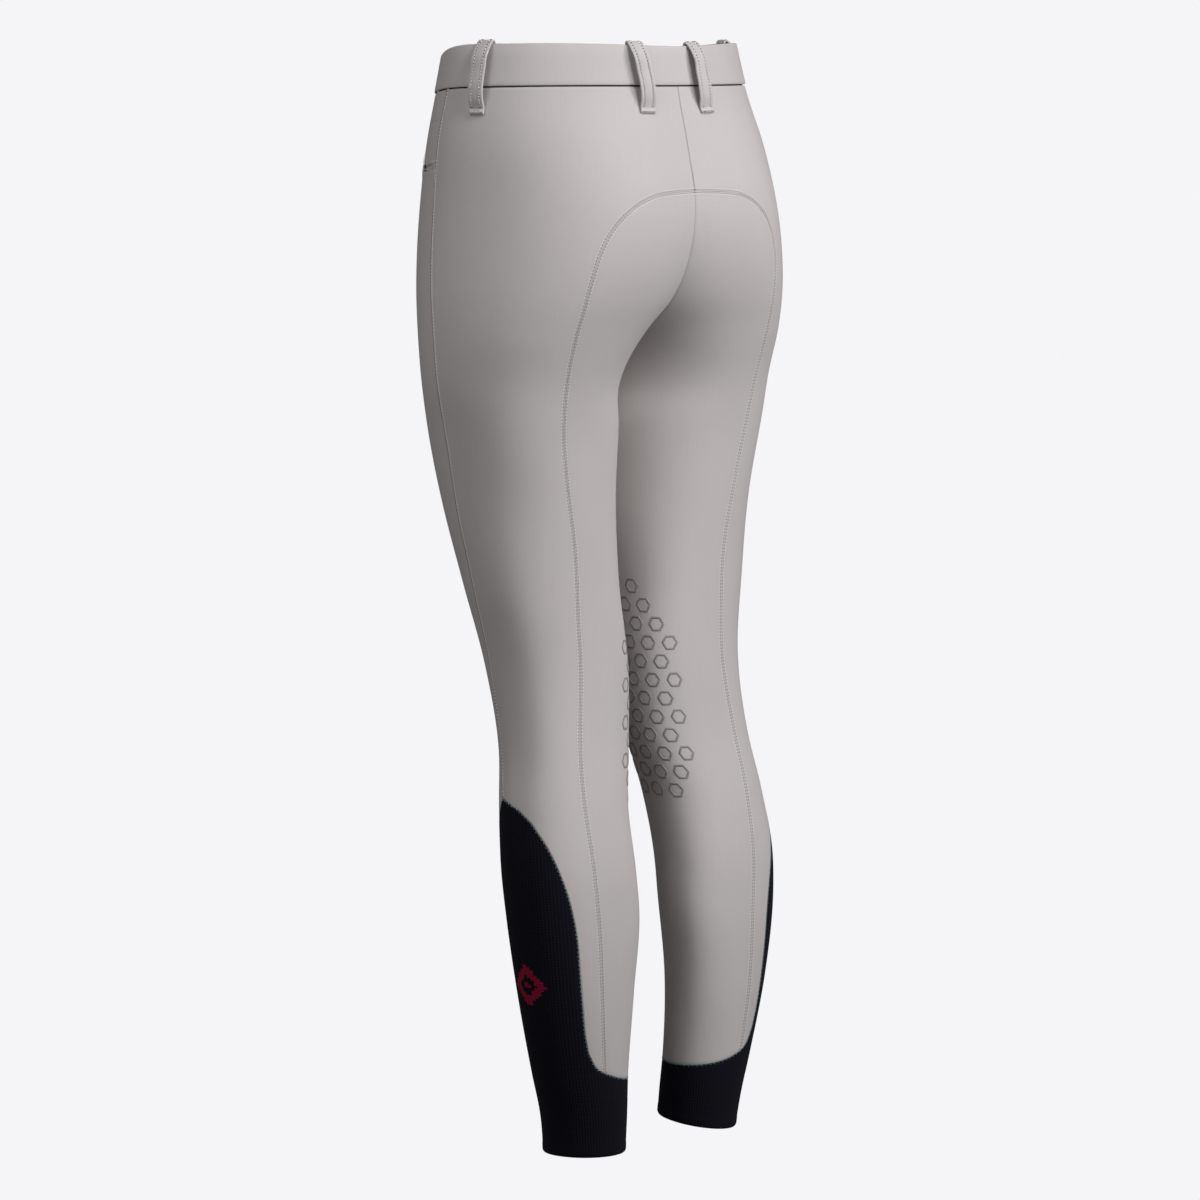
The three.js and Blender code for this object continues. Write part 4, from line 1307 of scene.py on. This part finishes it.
def waist_button():
    """Pressed metal button with a rolled rim and a shallow dish."""
    around = waist_angle(np.array(BUTTON_PLACE))
    z = float((band_top(around) + band_low(around)) / 2)
    share = np.array(BUTTON_PLACE)
    out = Vector(normal_of(waist_point, share, np.array(z), 0.002))
    seat = Vector(waist_point(share, z)) + out * float(overlap_lift(share) + BUTTON_EASE)
    bpy.ops.object.select_all(action="DESELECT")
    bpy.ops.mesh.primitive_cylinder_add(vertices=48, radius=BUTTON_RADIUS * MM, depth=2.6 * MM, location=(0, 0, 1.3 * MM))
    piece = bpy.context.object
    piece.name = "waist_button_metal"
    bpy.ops.object.transform_apply(location=True, rotation=True, scale=True)
    bpy.ops.object.mode_set(mode="EDIT")
    bpy.ops.mesh.select_all(action="DESELECT")
    bpy.ops.object.mode_set(mode="OBJECT")
    for face in piece.data.polygons:
        face.select = face.normal.z > 0.9
    bpy.ops.object.mode_set(mode="EDIT")
    bpy.ops.mesh.inset(thickness=1.4 * MM)
    bpy.ops.mesh.inset(thickness=0.5 * MM, depth=-0.7 * MM)
    bpy.ops.mesh.inset(thickness=3.6 * MM)
    bpy.ops.mesh.inset(thickness=0.4 * MM, depth=0.4 * MM)
    bpy.ops.object.mode_set(mode="OBJECT")
    bevel = piece.modifiers.new("edge", "BEVEL")
    bevel.width = 0.35 * MM
    bevel.segments = 3
    bevel.limit_method = "ANGLE"
    bpy.ops.object.modifier_apply(modifier="edge")
    turn = Vector((0, 0, 1)).rotation_difference(out).to_matrix().to_4x4()
    piece.data.transform(Matrix.Translation(seat * MM) @ turn)
    piece.data.materials.clear()
    piece.data.materials.append(METAL_FINISH)
    bpy.ops.object.shade_smooth_by_angle(angle=math.radians(35))
    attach(piece, ROOT)
    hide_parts("waist_button")


# Stage

BACKGROUND = (245, 245, 247)
FLOOR_Z = -1.03


def stage():
    """Plain pale floor and surroundings, which only the camera sees."""
    material = bpy.data.materials.new("plain pale paper")
    material.use_nodes = True
    nodes = material.node_tree.nodes
    nodes.clear()
    glow = nodes.new("ShaderNodeEmission")
    glow.inputs["Color"].default_value = colour(*BACKGROUND)
    output = nodes.new("ShaderNodeOutputMaterial")
    material.node_tree.links.new(glow.outputs[0], output.inputs[0])
    bpy.ops.object.select_all(action="DESELECT")
    bpy.ops.mesh.primitive_circle_add(vertices=96, radius=14, fill_type="NGON", location=(0, 0, FLOOR_Z))
    floor = bpy.context.object
    floor.name = "floor"
    bpy.ops.mesh.primitive_uv_sphere_add(segments=64, ring_count=32, radius=13.5, location=(0, 0, 0))
    dome = bpy.context.object
    dome.name = "dome"
    for thing in (floor, dome):
        thing.data.materials.append(material)
        thing.visible_diffuse = False
        thing.visible_glossy = False
        thing.visible_shadow = False


def area_light(name, azimuth, height, distance, size, power):
    data = bpy.data.lights.new(name, "AREA")
    data.shape = "RECTANGLE"
    data.size = size[0]
    data.size_y = size[1]
    data.energy = power
    light = bpy.data.objects.new(name, data)
    bpy.context.scene.collection.objects.link(light)
    light.location = CAMERA_TARGET + distance * direction(azimuth, height)
    aim(light, CAMERA_TARGET)


def lights():
    world = bpy.data.worlds.new("soft room")
    bpy.context.scene.world = world
    world.use_nodes = True
    room = world.node_tree.nodes["Background"]
    room.inputs["Color"].default_value = (1, 1, 1, 1)
    room.inputs["Strength"].default_value = 0.1
    area_light("key low", CAMERA_AZIMUTH + 63, 17, 2.4, (0.6, 0.6), 26)
    area_light("key high", CAMERA_AZIMUTH + 36, 46, 2.4, (0.6, 0.6), 22.5)
    area_light("left low", CAMERA_AZIMUTH - 42, 19, 2.4, (1.2, 1.2), 6.9)
    area_light("left high", CAMERA_AZIMUTH - 38, 50, 2.4, (1.2, 1.2), 7.2)
    bpy.context.scene.view_settings.view_transform = "Standard"


for side in ("left", "right"):
    panels(side)
    sock(side)
for name in LOOPS:
    belt_loop(name)
waistband()
waist_tape()
fly_placket()
waist_button()
seam_stitches()
cuff_stitches()
loop_stitches()
knee_grips()
stage()
lights()
